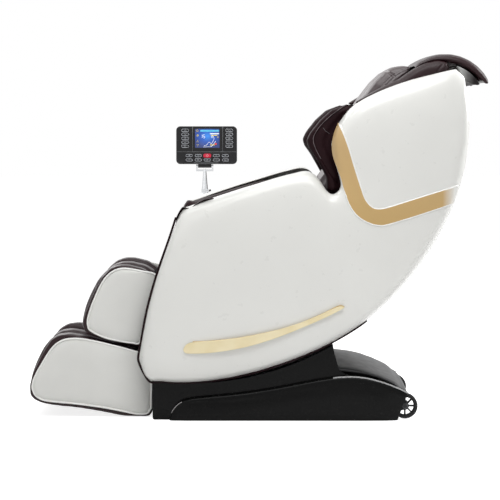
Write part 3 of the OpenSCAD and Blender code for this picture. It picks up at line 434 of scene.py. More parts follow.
def join(name, pieces):
    pick(*pieces)
    if len(pieces) > 1:
        bpy.ops.object.join()
    piece = bpy.context.active_object
    piece.name = name
    return piece


def place(piece, body, material, stands=()):
    piece.data.materials.clear()
    piece.data.materials.append(material)
    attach(piece, body)
    if stands:
        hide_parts(*stands)
    return piece


def both(piece, leftName, rightName, body, material, stands=()):
    # the piece on the near side and its mirror image on the far side
    piece.name = leftName
    other = mirrored(piece, rightName)
    place(piece, body, material, ["left_" + s for s in stands])
    place(other, body, material, ["right_" + s for s in stands])


def beads(label, line, radius, body, material):
    both(tube("bead", line, radius), "left" + label, "right" + label, body, material)


def linear(hexColour):
    out = []
    for i in (0, 2, 4):
        c = int(hexColour[i:i + 2], 16) / 255
        out.append(c / 12.92 if c <= 0.04045 else ((c + 0.055) / 1.055) ** 2.4)
    return (*out, 1)


def add(tree, kind, settings=None, **inputs):
    # one node with its settings; an input is a value or another node's output
    n = tree.nodes.new(kind)
    for k, v in (settings or {}).items():
        setattr(n, k, v)
    for k, v in inputs.items():
        socket = n.inputs[int(k[1:])] if k[0] == "i" and k[1:].isdigit() else n.inputs[k.replace("_", " ")]
        if isinstance(v, bpy.types.NodeSocket):
            tree.links.new(v, socket)
        else:
            socket.default_value = v
    return n


def newMaterial(name):
    m = bpy.data.materials.new(name)
    m.use_nodes = True
    m.node_tree.nodes.clear()
    return m, m.node_tree, add(m.node_tree, "ShaderNodeTexCoord").outputs["Object"]


def ramp(tree, factor, *stops):
    # colours or grey levels along a factor
    r = add(tree, "ShaderNodeValToRGB", i0=factor)
    while len(r.color_ramp.elements) < len(stops):
        r.color_ramp.elements.new(0.5)
    for e, (at, colour) in zip(r.color_ramp.elements, stops):
        e.position = at
        e.color = linear(colour) if isinstance(colour, str) else (colour, colour, colour, 1)
    return r.outputs["Color"]


def noise(tree, at, scale, detail, **inputs):
    return add(tree, "ShaderNodeTexNoise", Vector=at, Scale=scale, Detail=detail, **inputs).outputs["Fac"]


def spread(tree, value, low, high, start=0.0, end=1.0):
    # what runs from low to high made to run from start to end
    return add(tree, "ShaderNodeMapRange", Value=value, From_Min=low, From_Max=high, To_Min=start,
               To_Max=end).outputs[0]


def bumps(tree, height, strength, distance, **inputs):
    return add(tree, "ShaderNodeBump", Height=height, Strength=strength, Distance=distance,
               **inputs).outputs[0]


def finish(m, **inputs):
    shader = add(m.node_tree, "ShaderNodeBsdfPrincipled", **inputs)
    add(m.node_tree, "ShaderNodeOutputMaterial", Surface=shader.outputs[0])
    return m


def leather(name, dark, light, roughness, specular=0.35, grain=1.6, bump=0.09, coat=0.0, sheen=0.0):
    # polyurethane leather, embossed: pebbles drawn 1.6 mm wide, twice the real ones, so that they show;
    # soft creases about 30 mm long and a faint cloudiness in the colour
    m, t, at = newMaterial(name)
    cells = add(t, "ShaderNodeTexVoronoi", {"feature": "DISTANCE_TO_EDGE"}, Vector=at,
                Scale=1 / (grain * mm), Randomness=1.0)
    pebble = ramp(t, cells.outputs["Distance"], (0.0, 0.0), (0.22, 1.0))
    creases = noise(t, at, 26.0, 5.0, Roughness=0.6, Distortion=0.6)
    tone = ramp(t, noise(t, at, 9.0, 3.0), (0.3, dark), (0.7, light))
    rough = spread(t, creases, 0.3, 0.7, roughness - 0.04, roughness + 0.06)
    relief = bumps(t, creases, bump, 0.003, Normal=bumps(t, pebble, bump, 0.0004))
    return finish(m, Base_Color=tone, Roughness=rough, Normal=relief, Coat_Weight=coat, Coat_Roughness=0.25,
                  Specular_IOR_Level=specular, Sheen_Weight=sheen, Sheen_Roughness=0.5,
                  Sheen_Tint=linear("cdbcbc"))


def moulded(name, dark, light, roughness, specular=0.5, coat=0.0, peel=0.02):
    # injection-moulded plastic: an even colour, orange peel about 3 mm wide, slight change of gloss
    m, t, at = newMaterial(name)
    tone = ramp(t, noise(t, at, 5.0, 2.0), (0.3, dark), (0.7, light))
    rough = spread(t, noise(t, at, 40.0, 4.0), 0.3, 0.7, max(roughness - 0.03, 0.02), roughness + 0.04)
    relief = bumps(t, noise(t, at, 320.0, 2.0), peel, 0.0006)
    return finish(m, Base_Color=tone, Roughness=rough, Normal=relief, Coat_Weight=coat, Coat_Roughness=0.08,
                  Specular_IOR_Level=specular)


def metal(name, dark, light, roughness, metallic=1.0, streak=(400.0, 400.0, 400.0), bump=0.05, specular=0.5):
    # metal with the marks its finish leaves: streaks along the grind, or the fine pebble of a powder coat
    m, t, at = newMaterial(name)
    marks = noise(t, add(t, "ShaderNodeMapping", Vector=at, Scale=streak).outputs[0], 1.0, 4.0)
    tone = ramp(t, marks, (0.3, dark), (0.7, light))
    rough = spread(t, marks, 0.3, 0.7, max(roughness - 0.05, 0.03), roughness + 0.07)
    return finish(m, Base_Color=tone, Roughness=rough, Metallic=metallic,
                  Normal=bumps(t, marks, bump, 0.0005),
                  Specular_IOR_Level=specular)


# pearl-white ABS, high-gloss moulded: even body colour under a clear gloss
whiteAbs = moulded("pearlWhiteAbs", "e3e3df", "e5e5e1", 0.3, coat=0.25)
# polished white piping cast in soft PVC round the gold panel; the same white tube round the leg rest's side
# panels is a painted highlight on their rim
whitePipingAndRimHighlight = moulded("whitePvcPipingAndRimHighlight", "f0f0ec", "f3f3f0", 0.25, coat=0.3)
# grey bead beside the piping, a painted shadow line
shadowLineGrey = moulded("greyFoamGasket", "b9bab6", "c2c3bf", 0.6, peel=0.1)
# silver-grey bead along the base covers' top rim, a painted highlight there, and grey lines on the wings,
# painted highlights along a panel's edge and a crease
rimHighlightPaint = moulded("paintedRimHighlightGrey", "9a9a9b", "a6a6a7", 0.35, coat=0.1)
wingHighlightGrey = moulded("paintedWingHighlightGrey", "5e5557", "6a6062", 0.4, specular=0.3)
# black ABS, semi-gloss moulded: base covers; the deck behind is fine-textured, satin, and painted a little
# greyer as a sheen on its top
blackAbs = moulded("semiGlossBlackAbs", "090909", "0c0c0c", 0.28, specular=0.08, coat=0.02)
deckAbsWithSheen = moulded("satinBlackAbs", "141415", "171718", 0.4, specular=0.2, coat=0.02)
innerBlack = moulded("texturedBlackAbs", "1b1b1c", "222223", 0.6, specular=0.25, peel=0.3)
# dark-brown PU leather, rolled: glossy on the hood and legs, duller on wings and arms, softer on the seat
brownLeather = leather("darkBrownPuLeather", "221215", "2a171a", 0.34, specular=0.2, coat=0.04)
edgeLeather = leather("blackBrownPuLeather", "1e0f12", "231316", 0.45, specular=0.07)
seatLeather = leather("softBrownPuLeather", "2a1b1e", "322124", 0.4, specular=0.4, coat=0.05, sheen=0.05)
pillowLeather = leather("greyBrownPuLeather", "33282a", "3d3133", 0.34, specular=0.5, coat=0.15, sheen=0.08)
whiteLeather = leather("whitePuLeather", "dededa", "e3e3df", 0.42, grain=1.4, bump=0.04)
# waxed polyester thread, twisted
thread = moulded("darkPolyesterThread", "4a3538", "573f42", 0.6, peel=0.4)
# powder-coated mild steel, fine texture
powderCoat = metal("blackPowderCoatSteel", "1c1c1d", "262627", 0.5, 0.0, (700.0, 700.0, 700.0), 0.25, 0.3)
groundSteel = metal("groundSteel", "a3a5a8", "b9bbbe", 0.3, streak=(60.0, 900.0, 60.0))
castAlloy = metal("dieCastAluminium", "8c8e91", "9fa1a4", 0.48, streak=(350.0, 350.0, 350.0), bump=0.15)
chrome = metal("polishedChrome", "d2d4d6", "dcdddf", 0.1, streak=(20.0, 20.0, 300.0), bump=0.01)
# silver strip on the base covers' front, a painted glint
glintSilver = metal("paintedGlintSilver", "9b9898", "a9a6a6", 0.32, streak=(300.0, 300.0, 300.0))
castNylon = moulded("castNylonGrey", "3c3d3f", "454648", 0.5, peel=0.2)
rubber = moulded("blackRubber", "161617", "1c1c1d", 0.65, specular=0.25, peel=0.4)
keyRubber = moulded("siliconeKeypad", "1a1a1d", "212125", 0.5, specular=0.3, peel=0.15)
redKey = moulded("redAbsKey", "d01038", "dc1a42", 0.3, coat=0.2)
printGrey = moulded("greyScreenPrint", "8b8d90", "979a9d", 0.5)
printWhite = moulded("whiteScreenPrint", "dfe3ea", "e9ecf2", 0.5)
tabletAbs = moulded("pianoBlackAbs", "101012", "131316", 0.2, specular=0.3, coat=0.1)

# champagne-gold film, satin: painted shade makes it darker lower down, and a painted highlight runs it out
# into white at the rear edge
goldFilm, t, at = newMaterial("champagneGoldFilm")
# heights over which the painted shade runs, and x of the painted highlight's run-out into white, in metres
goldShadeAndHighlight = {"tone": (0.62, 0.9), "end": (0.572, 0.612)}
split = add(t, "ShaderNodeSeparateXYZ", Vector=at)
goldShadedTone = ramp(t, spread(t, split.outputs[2], *goldShadeAndHighlight["tone"]), (0.0, "be9e66"), (0.3, "c1a16b"),
                (1.0, "c3a472"))
goldHighlightMix = add(t, "ShaderNodeMix", {"data_type": "RGBA"}, Factor=spread(t, split.outputs[0], *goldShadeAndHighlight["end"]),
              i6=goldShadedTone, i7=linear("e5e5e1"))
finish(goldFilm, Base_Color=goldHighlightMix.outputs[2], Roughness=0.36, Metallic=0.08, Coat_Weight=0.15,
       Coat_Roughness=0.25, Normal=bumps(t, noise(t, at, 260.0, 2.0), 0.03, 0.0003))

# the same film in a narrow line, darker
goldLine = moulded("goldEdgeLine", "c9a45c", "d0ad66", 0.3, coat=0.1)

# frosted warm-white polycarbonate over a lamp strip, its tone varying a little at random
diffuser, t, at = newMaterial("frostedWarmPolycarbonate")
tone = ramp(t, noise(t, at, 14.0, 2.0), (0.35, "e6d6a9"), (0.65, "eee1bb"))
finish(diffuser, Base_Color=tone, Roughness=0.3, Emission_Color=tone, Emission_Strength=0.03, Coat_Weight=0.3)

# birch plywood, sanded: pale, with long grain 4 mm apart
plywood, t, at = newMaterial("birchPlywood")
grain = noise(t, add(t, "ShaderNodeMapping", Vector=at, Scale=(12.0, 250.0, 12.0)).outputs[0], 1.0, 5.0)
finish(plywood, Base_Color=ramp(t, grain, (0.3, "b88c58"), (0.7, "d3ab76")), Roughness=0.62,
       Normal=bumps(t, grain, 0.1, 0.0005))

# hood lining: white plastic painted grey as shade under the hood, and painted darker still towards its tip as
# deeper shade, from x 635 to 675 mm
hoodLiningShaded, t, at = newMaterial("whiteLiningPaintedShade")
split = add(t, "ShaderNodeSeparateXYZ", Vector=at)
# x over which the painted shade deepens towards the tip
run = spread(t, split.outputs[0], 0.635, 0.675)
finish(hoodLiningShaded, Base_Color=ramp(t, run, (0.0, "c2c3c1"), (0.5, "6b6a69"), (1.0, "232021")),
       Roughness=0.6, Specular_IOR_Level=0.12, Normal=bumps(t, noise(t, at, 700.0, 3.0), 0.15, 0.0004))


def lit(name, low, high):
    # backlit LCD: colour with a little light of its own, in 0.3 mm dots, drawn 1.2 mm apart
    m, t, at = newMaterial(name)
    dots = add(t, "ShaderNodeTexVoronoi", Vector=at, Scale=830.0, Randomness=0.0).outputs["Distance"]
    tone = ramp(t, dots, (0.0, high), (0.6, low))
    return finish(m, Base_Color=tone, Roughness=0.25, Emission_Color=tone, Emission_Strength=0.35,
                  Coat_Weight=0.4)


# backlit LCD: blue, lighter towards the middle of the glass
glow = {"x": -0.162, "z": 0.896, "width": 0.045, "height": 0.035}  # its middle and reach, in metres
lcdBlue, t, at = newMaterial("backlitBlueLcd")
centred = add(t, "ShaderNodeMapping", Vector=at, Scale=(1 / glow["width"], 0.0, 1 / glow["height"]),
              Location=(-glow["x"] / glow["width"], 0.0, -glow["z"] / glow["height"]))
middle = add(t, "ShaderNodeTexGradient", {"gradient_type": "SPHERICAL"},
             Vector=centred.outputs[0]).outputs["Fac"]
tone = ramp(t, middle, (0.0, "072668"), (0.5, "124aa4"), (1.0, "2f7fd6"))
finish(lcdBlue, Base_Color=tone, Roughness=0.2, Emission_Color=tone, Emission_Strength=0.45, Coat_Weight=0.5)
lcdWhite = lit("backlitWhite", "dfe6f2", "f4f7fc")
lcdYellow = lit("backlitYellow", "d9c23a", "efdb58")
lcdRed = lit("backlitRed", "c8322c", "dc4a3c")
lcdCyan = lit("backlitCyan", "4fb3d8", "74cbe8")
print("materials made")

finishes = [
    (powderCoat, "left_base_rail right_base_rail base_cross_tubes roller_brackets left_cheek right_cheek"),
    (powderCoat, "cabin_cross_tubes leg_frame"),
            (castAlloy, "recline_gearmotor leg_gearmotor massage_carriage"),
    (innerBlack, "control_box air_pump rear_panel belly_pan"), (blackAbs, "pedestal"), (rubber, "base_feet"),
    (castNylon, "front_track_rollers rear_track_rollers"), (plywood, "seat_board"), (redKey, "power_key"),
    (groundSteel, "drive_pinion arc_rails drive_rack back_rails kneading_shaft"),
    (chrome, "foot_slide_rods tablet_foot tablet_post"), (keyRubber, "tablet_keys")]
for material, names in finishes:
    for nodeName in names.split():
        nodes[nodeName].data.materials.clear()
        nodes[nodeName].data.materials.append(material)
print("frame finished")

# side shells: the moulding's broad face evened out, its rim held and the depth of its crown kept
shellShape = {"hold": 1.0, "sharp": 50, "even": 30, "rounds": 200, "corner": (-350, 130), "reach": 45,
              "shift": (-3, -6),
              "rear": [((606, 1100), 95, (8, 4)), ((650, 930), 190, (6, 0))], "arc": (-216, 1014, 890),
              "reachIn": 90,
              "low": [(-340, -4), (-280, -4.5), (-250, -3.8), (-217, -2.5), (-186, -1.2), (-155, 0.6),
                      (-123, 2.2), (-92, 3.2),
                      (-61, 5), (-29, 6.3), (2, 7.4), (34, 8.8), (65, 9.4), (96, 9.4), (128, 9.1),
                      (159, 8.4), (190, 6.9),
                      (222, 5.6), (253, 4.4), (284, 2.5), (330, 0)],
              "armTop": [(-245, 671), (-222, 684), (-159, 710), (-70, 740), (19, 763), (79, 778), (135, 788),
                         (166, 786)],
              "armShift": [(-243, -2), (-218, -8), (-192, -10), (-142, -11), (-92, -11.3), (-42, -10),
                           (-17, -9.8), (8, -8.3),
                           (33, -7), (58, -5.3), (83, -4.3), (108, -3), (135, 0), (160, 0)]}
sideShell = roundedCopy("left_side_shell", "leftSideShell", shellShape["sharp"], shellShape["hold"])


def rimWeight(piece, width, test=lambda co: True):
    # 0 on the sharp rim that passes the test, 1 from the given width inwards
    mesh = piece.data
    normals = {}
    for f in mesh.polygons:
        if f.area > 5e-7:
            for k in f.edge_keys:
                normals.setdefault(k, []).append(f.normal)
    rim = {i for k, pair in normals.items() if len(pair) == 2 and pair[0].dot(pair[1]) < 0.8
           and min(abs(n.y) for n in pair) < 0.6 for i in k if test(mesh.vertices[i].co)}
    kd = KDTree(len(rim))
    for i in rim:
        kd.insert(mesh.vertices[i].co, i)
    kd.balance()
    out = np.ones(len(mesh.vertices), np.float32)
    for i, v in enumerate(mesh.vertices):
        d = kd.find(v.co)[2]
        if d is not None:
            out[i] = min(1.0, max(0.0, (d - 2 * mm) / width))
    return out


def nudge(piece, centre, reach, shift):
    # draw the points round a spot of the side view a little way, less and less towards the reach
    co = pointsOf(piece.data)
    d = np.clip(np.hypot(co[:, 0] - centre[0], co[:, 2] - centre[1]) / reach, 0, 1)
    pull = (1 - d * d) ** 2
    co[:, 0] += shift[0] * pull
    co[:, 2] += shift[1] * pull
    setPoints(piece.data, co)
    return piece


def read(table, x):
    # value at x from a table of (x, value), all in mm, held beyond its ends
    return np.interp(x, [q[0] for q in table], [q[1] for q in table])


def lowEdge(x):
    # height of the shell's lower edge at x, in mm
    cx, cz, r = shellShape["arc"]
    return cz - np.sqrt(np.maximum(r * r - (x - cx) ** 2, 0)) + read(shellShape["low"], x)


held = rimWeight(sideShell, 10 * mm, lambda co: abs(co.y) < 0.32)
relax(sideShell, held, shellShape["even"])
relax(sideShell, held, shellShape["rounds"], (0, 1, 0), True)
once = pointsOf(sideShell.data)
relax(sideShell, held, shellShape["rounds"], (0, 1, 0), True)
co = 2 * once - pointsOf(sideShell.data)
x, z = co[:, 0] / mm, co[:, 2] / mm
near = np.clip(1 - (z - lowEdge(x)) / shellShape["reachIn"], 0, 1) * (x < 330)
z = z + read(shellShape["low"], x) * ease(near)
near = np.clip(1 - (read(shellShape["armTop"], x) - z) / shellShape["reachIn"], 0, 1) * (x < 160)
z = z + read(shellShape["armShift"], x) * ease(near)
co[:, 2] = z * mm
setPoints(sideShell.data, co)
for centre, reach, shift in [(shellShape["corner"], shellShape["reach"],
                              shellShape["shift"])] + shellShape["rear"]:
    nudge(sideShell, [q * mm for q in centre], reach * mm, [q * mm for q in shift])
shellTree = treeOf(sideShell)
both(sideShell, "leftSideShell", "rightSideShell", "cabin", whiteAbs, ["side_shell"])
print("side shells made")

rearShell = bevelledCopy("rear_shell", "rearShell", 0.6, 1, 60)
place(rearShell, "cabin", whiteAbs, ["rear_shell"])

# base covers with a crease, a silver-grey bead along the top rim as a painted highlight and a short silver
# glint in front as a painted highlight, and the deck behind
coverShape = {"skirt": 5, "tail": 7, "fold": [(-241, 55), (-143, 58), (-26, 64), (90, 87), (206, 99),
                                              (264, 103), (380, 96)],
              "rim": (232, 467), "glint": [(-279, 20), (-270, 36), (-258, 50), (-242, 61)],
              "rimHighlightBead": 2.5, "glintBead": 1.0}
cover = roundedCopy("left_base_cover", "leftBaseCover", 55, 0.8)
co = pointsOf(cover.data)
co[:, 2] -= coverShape["skirt"] * mm * np.clip((0.04 - co[:, 2]) / 0.03, 0, 1)
co[:, 0] += coverShape["tail"] * mm * np.clip((co[:, 0] - 0.38) / 0.06, 0, 1)
setPoints(cover.data, co)
coverTree = treeOf(cover)
carve(cover, [laid(coverTree, coverShape["fold"])], 4, 1.2)
both(cover, "leftBaseCover", "rightBaseCover", "base", blackAbs, ["base_cover"])


def topEdge(tree, x, high, low):
    # point of the near face a little under its top edge at x
    for z in range(high * 2, low * 2, -1):
        hit = tree.ray_cast(Vector((x * mm, -rayFrom * mm, z * mm / 2)), farther)[0]
        if hit is not None and hit.y < -0.27:
            hit = tree.ray_cast(Vector((x * mm, -rayFrom * mm, (z / 2 - 3.5) * mm)), farther)[0] or hit
            return hit + Vector((0, -0.0006, 0))
    return None


rim = [topEdge(coverTree, x, 160, 60) for x in range(*coverShape["rim"], 6)]
rim = [p for p in rim if p]
# painted highlights: a bead along the top rim, and a short glint in front
beads("CoverRimHighlight", rim, coverShape["rimHighlightBead"], "base", rimHighlightPaint)
beads("CoverGlint", laid(coverTree, coverShape["glint"], 0.1), coverShape["glintBead"], "base", glintSilver)

# the base's front corners, moulded as wide as the covers
frontShape = {"x": (-337, -276), "y": (-287, -222), "z": (0, 104), "round": 5}
sides = [frontShape[k] for k in "xyz"]
corner = block("corner", [(a + b) / 2 for a, b in sides], [b - a for a, b in sides])
bevelEdges(corner, frontShape["round"], 3)
both(corner, "leftFrontCorner", "rightFrontCorner", "base", blackAbs)

deckShape = {"from": 300, "to": 430, "stretch": 24, "drop": 7, "lead": 14,
             "fall": [(340, 0), (378, 3), (430, 13), (451, 23), (470, 17), (490, 5), (501, 0)]}
deck = roundedCopy("rear_deck", "rearDeck", 55, 0.8)
co = pointsOf(deck.data)
t = np.clip((co[:, 0] / mm - deckShape["from"]) / (deckShape["to"] - deckShape["from"]), 0, 1)
co[:, 0] += deckShape["stretch"] * mm * t * t
co[:, 0] -= deckShape["lead"] * mm * np.clip((0.30 - co[:, 0]) / 0.045, 0, 1)
co[:, 2] -= deckShape["drop"] * mm * np.clip((co[:, 2] - 0.13) / 0.03, 0, 1)
co[:, 2] -= read(deckShape["fall"], co[:, 0] / mm) * mm * np.clip((co[:, 2] - 0.07) / 0.03, 0, 1)
setPoints(deck.data, co)
place(deck, "base", deckAbsWithSheen, ["rear_deck"])

hoodLining = roundedCopy("hood_shell", "hoodLining", 60, 0.6)
place(hoodLining, "cabin", hoodLiningShaded, ["hood_shell"])

# transport wheels with a turned hub cap
wheelShape = {"x": 461, "z": 43, "outer": -282, "cap": 9.5, "thick": 3}
for side in ("left", "right"):
    w = bevelledCopy(side + "_wheel", side + "TransportWheel", 0.7, 2, 30)
    place(w, side + "_wheel", rubber, [side + "_wheel"])
    sign = 1 if side == "left" else -1
    cap = disc(32, wheelShape["cap"], wheelShape["thick"], (math.pi / 2, 0, 0),
               (wheelShape["x"], sign * wheelShape["outer"], wheelShape["z"]))
    cap.name = side + "HubCap"
    insetFaces(cap, lambda n: n.y * -sign > 0.9, [(2.5, 0.6), (3, -0.8)])
    bevelEdges(cap, 0.4)
    place(cap, side + "_wheel", castNylon)
print("shells made")


def evenly(points, count):
    # a line cut into equal lengths
    p = [Vector(q) for q in points]
    run = [0.0]
    for a, b in zip(p, p[1:]):
        run.append(run[-1] + (b - a).length)
    out, j = [], 0
    for i in range(count):
        t = run[-1] * i / (count - 1)
        while j < len(p) - 2 and run[j + 1] < t:
            j += 1
        out.append(p[j].lerp(p[j + 1], min(1.0, max(0.0, (t - run[j]) / (run[j + 1] - run[j])))))
    return out


def beside(points, distance):
    # a side-view line moved sideways in its plane
    out = []
    for i, p in enumerate(points):
        way = (points[min(i + 1, len(points) - 1)] - points[max(i - 1, 0)]).normalized()
        out.append(p + Vector((way.z, 0, -way.x)) * distance)
    return out


def ribbon(name, lineA, lineB, steps, lift, thick):
    # strip between two side-view lines, laid on the near shell, its lift and thickness in mm
    n = len(lineA)
    bpy.ops.mesh.primitive_grid_add(x_subdivisions=n - 1, y_subdivisions=steps, size=1)
    piece = bpy.context.active_object
    piece.name = name
    for v in piece.data.vertices:
        i = round((v.co.x + 0.5) * (n - 1))
        p = lineA[i].lerp(lineB[i], v.co.y + 0.5)
        hit, normal, _, _ = shellTree.ray_cast(Vector((p.x, -rayFrom * mm, p.z)), farther)
        if hit is None or hit.y > -0.29:
            hit, normal, _, _ = shellTree.find_nearest(Vector((p.x, -0.35, p.z)))
        v.co = hit + normal * (lift * mm)
    relax(piece, 0.8, 4, (0, 1, 0))
    m = piece.modifiers.new("Thickness", "SOLIDIFY")
    m.thickness, m.offset = thick * mm, 0
    applyAll(piece)
    editAll(piece)
    outward(piece)
    return bevelEdges(piece, 0.3 * thick, 1, 60)


# gold bands from a point on the notch edge, white piping and a grey bead beside them as a painted shadow line
bandShape = {
    "inner": [(249, 934), (261, 905), (278, 859), (294, 805), (311, 751), (324, 710), (333, 692), (345, 678),
              (358, 670.5),
              (372, 668.5), (390, 670.5), (410, 676), (469, 694.5), (552, 720), (621, 741)],
    "outer": [(248, 936), (235, 901), (229, 866), (233, 832), (245, 797), (257, 762), (264, 733), (275, 697),
              (290, 666),
              (314, 641), (344, 625), (372, 618.5), (398, 621), (469, 642), (565, 673), (607, 688)],
    "lowFrom": (262, 744), "piping": 3.0, "gasket": 0.9, "gap": 3.6, "lift": 1.8, "thick": 3.2, "count": 160,
    "steps": 10}
innerLine = sideLine(bandShape["inner"], 0)
outerLine = sideLine(bandShape["outer"], 0)
band = ribbon("leftGoldBand", evenly(innerLine, bandShape["count"]), evenly(outerLine, bandShape["count"]),
              bandShape["steps"], bandShape["lift"], bandShape["thick"])
both(band, "leftGoldBand", "rightGoldBand", "cabin", goldFilm, ["gold_band"])
lowFrom = Vector((bandShape["lowFrom"][0], 0, bandShape["lowFrom"][1])) * mm
start = min(range(len(outerLine)), key=lambda i: (outerLine[i] - lowFrom).length)
edgings = (("Piping", bandShape["piping"], 0, whitePipingAndRimHighlight),
           ("Gasket", bandShape["gasket"], bandShape["gap"], shadowLineGrey))
for label, line, side in (("Inner", innerLine, 1), ("Outer", outerLine[start:], -1)):
    for kind, radius, off, material in edgings:
        way = evenly(beside(line, side * off * mm), 90)
        way = bare(drop(shellTree, [Vector((p.x, -rayFrom * mm, p.z)) for p in way], farther, 0.6))
        beads(label + kind, way, radius, "cabin", material)

# light bars: diffuser with a gold line along its upper edge
barShape = {"top": [(-236, 236), (-228, 249), (-208, 255), (-146, 258), (-63, 267), (21, 283), (104, 305),
                    (187, 338),
                    (240, 364), (256, 368), (265, 364)], "line": 1.3}
bar = roundedCopy("left_light_bar", "leftLightBar", 50, 0.4)
both(bar, "leftLightBar", "rightLightBar", "cabin", diffuser, ["light_bar"])
beads("LightLine", laid(shellTree, barShape["top"][2:], 2.2, 6.0), barShape["line"], "cabin", goldLine)

# dark welt sewn down the front and along the belly of each side
weltShape = {"radius": 3.6, "y": -298.6, "lift": 2,
             "front": [(-262, 641), (-283, 577), (-323, 462), (-353, 355), (-375, 240),
             (-382, 200), (-380, 184), (-372, 164), (-362, 145), (-353, 130), (-345, 122), (-334, 120)]}
belly = [(x, lowEdge(x) - weltShape["lift"]) for x in range(-310, 345, 25)]
line = sideLine(weltShape["front"] + belly, weltShape["y"], 6.0)
welt = tube("welt", line, weltShape["radius"])
weltRight = mirrored(welt, "weltRight")
place(join("edgeWelts", [weltRight, welt]), "cabin", edgeLeather, ["edge_trims"])
print("trims made")


def stitches(name, lines, body, pitch=6.0, length=4.2, radius=0.55, material=None):
    # one twisted stitch, modelled once and laid along sewn lines of (point, normal)
    bpy.ops.mesh.primitive_uv_sphere_add(segments=6, ring_count=5, radius=1)
    one = bpy.context.active_object
    one.scale = (length / 2 * mm, radius * mm, radius * mm)
    settle(one)
    base = pointsOf(one.data)
    faces = [list(f.vertices) for f in one.data.polygons]
    points, polys = [], []
    for line in lines:
        where = [p for p, _ in line]
        if len(where) < 2:
            continue
        run, last = 0.0, 0.0
        for i in range(1, len(where)):
            run += (where[i] - where[i - 1]).length
            if run - last < pitch * mm or (where[i] - where[i - 1]).length > 0.03:
                continue
            last = run
            x = (where[i] - where[i - 1]).normalized()
            z = line[i][1]
            y = z.cross(x).normalized()
            turn = np.array([x, y, x.cross(y)])
            polys += [[q + len(points) * len(base) for q in f] for f in faces]
            points.append(base @ turn + np.array(where[i]))
    mesh = bpy.data.meshes.new(name)
    mesh.from_pydata(np.concatenate(points).tolist(), [], polys)
    piece = bpy.data.objects.new(name, mesh)
    bpy.context.scene.collection.objects.link(piece)
    pick(one)
    bpy.ops.object.delete()
    pick(piece)
    bpy.ops.object.shade_smooth()
    return place(piece, body, material or thread)


# frame of the backrest, as lengths up the back, out of it and across
hinge, up, out = Vector((-0.085, 0, 0.370)), Vector((0.606, 0, 0.7955)), Vector((-0.7955, 0, 0.606))


def backPoint(u, h, y):
    return hinge + up * (u * mm) + out * (h * mm) + Vector((0, y * mm, 0))


def backLine(points, tree, lift=0.0):
    # (u, y) points laid on the front of a back pad
    return drop(tree, resample([backPoint(u, 260, y) for u, y in points], 2 * mm), -out, lift)


def along(values, a, b, count=30):
    return [(a + (b - a) * i / count, values) for i in range(count + 1)]


def across(value, a, b, count=30):
    return [(value, a + (b - a) * i / count) for i in range(count + 1)]


def quilt(piece, lines, shape):
    # the seams pulled in, and the new surface to lay the stitches on
    carve(piece, [bare(line) for line in lines], shape["width"], shape["depth"])
    return treeOf(piece)


stitchLift = 0.3

# back cushion: swelled, with three cross channels and two long ones
backShape = {"seams": (230, 380, 540), "long": 124, "voxel": 6.0, "pressure": 4, "shrink": 3, "cap": 16,
             "half": 0.221, "width": 8, "depth": 4.0, "stitch": (-6, 6)}
back = copyNode("back_cushion", "backCushion")
puff(back, backShape, facing(lambda n: n @ np.array(out), backShape["half"], 0.03, 0.15))
tree = treeOf(back)
seams = [backLine(across(u, -205, 205), tree) for u in backShape["seams"]]
seams += [backLine(along(s * backShape["long"], 60, 690), tree) for s in (-1, 1)]
tree = quilt(back, seams, backShape)
sewn = [backLine(across(u + o, -200, 200), tree,
                 stitchLift) for u in backShape["seams"] for o in backShape["stitch"]]
sewn += [backLine(along(s * (backShape["long"] + o), 64, 686), tree, stitchLift)
         for s in (-1, 1) for o in backShape["stitch"]]
place(back, "cabin", seatLeather, ["back_cushion"])
stitches("backStitches", sewn, "cabin")
print("back cushion made")

# seat cushion: two long seams and a front roll
seatShape = {"long": 145, "roll": -235, "voxel": 6.0, "pressure": 4, "shrink": 3, "cap": 14, "half": 0.229,
             "width": 8, "depth": 4.0, "stitch": (-6, 6)}
seat = copyNode("seat_cushion", "seatCushion")
puff(seat, seatShape, facing(lambda n: n[:, 2], seatShape["half"], 0.03, 0.15))


def seatLine(points, tree, lift=0.0):
    return drop(tree, resample([Vector((x * mm, y * mm, 0.7)) for x, y in points], 2 * mm), (0, 0, -1), lift)


tree = treeOf(seat)
seams = [seatLine([(-284, s * seatShape["long"]), (-70, s * seatShape["long"])], tree) for s in (-1, 1)]
seams.append(seatLine([(seatShape["roll"], -215), (seatShape["roll"], 215)], tree))
tree = quilt(seat, seams, seatShape)
sewn = [seatLine([(-282, s * (seatShape["long"] + o)), (-72, s * (seatShape["long"] + o))], tree, stitchLift)
        for s in (-1, 1) for o in seatShape["stitch"]]
sewn += [seatLine([(seatShape["roll"] + o, -212), (seatShape["roll"] + o, 212)], tree, stitchLift)
         for o in seatShape["stitch"]]
place(seat, "cabin", seatLeather, ["seat_cushion"])
stitches("seatStitches", sewn, "cabin")
print("seat cushion made")

# neck pillow: leaf of three lobes with fine sewn lines round its side
pillowShape = {"long": 104, "voxel": 4.5, "pressure": 4, "shrink": 2, "cap": 8, "half": 0.207, "width": 7,
               "depth": 3.5, "stitch": (-5, 5), "lobes": [
    [(377, 1042), (398, 1065), (428, 1091), (458, 1106), (480, 1112)],
    [(401, 1054), (426, 1080), (456, 1099), (478, 1108)]]}
pillow = copyNode("neck_pillow", "neckPillow")
puff(pillow, pillowShape, facing(lambda n: n @ np.array(out), pillowShape["half"], 0.02, 0.1))
tree = treeOf(pillow)
seams = [backLine(along(s * pillowShape["long"], 640, 930), tree) for s in (-1, 1)]
seams += [backLine(across(u, -195, 195), tree) for u in (700, 880)]
tree = quilt(pillow, seams, pillowShape)
sides = [laid(tree, lobe, side=s) for lobe in pillowShape["lobes"] for s in (-1, 1)]
carve(pillow, [line for line in sides if len(line) > 2], 5, 2.5)
tree = treeOf(pillow)
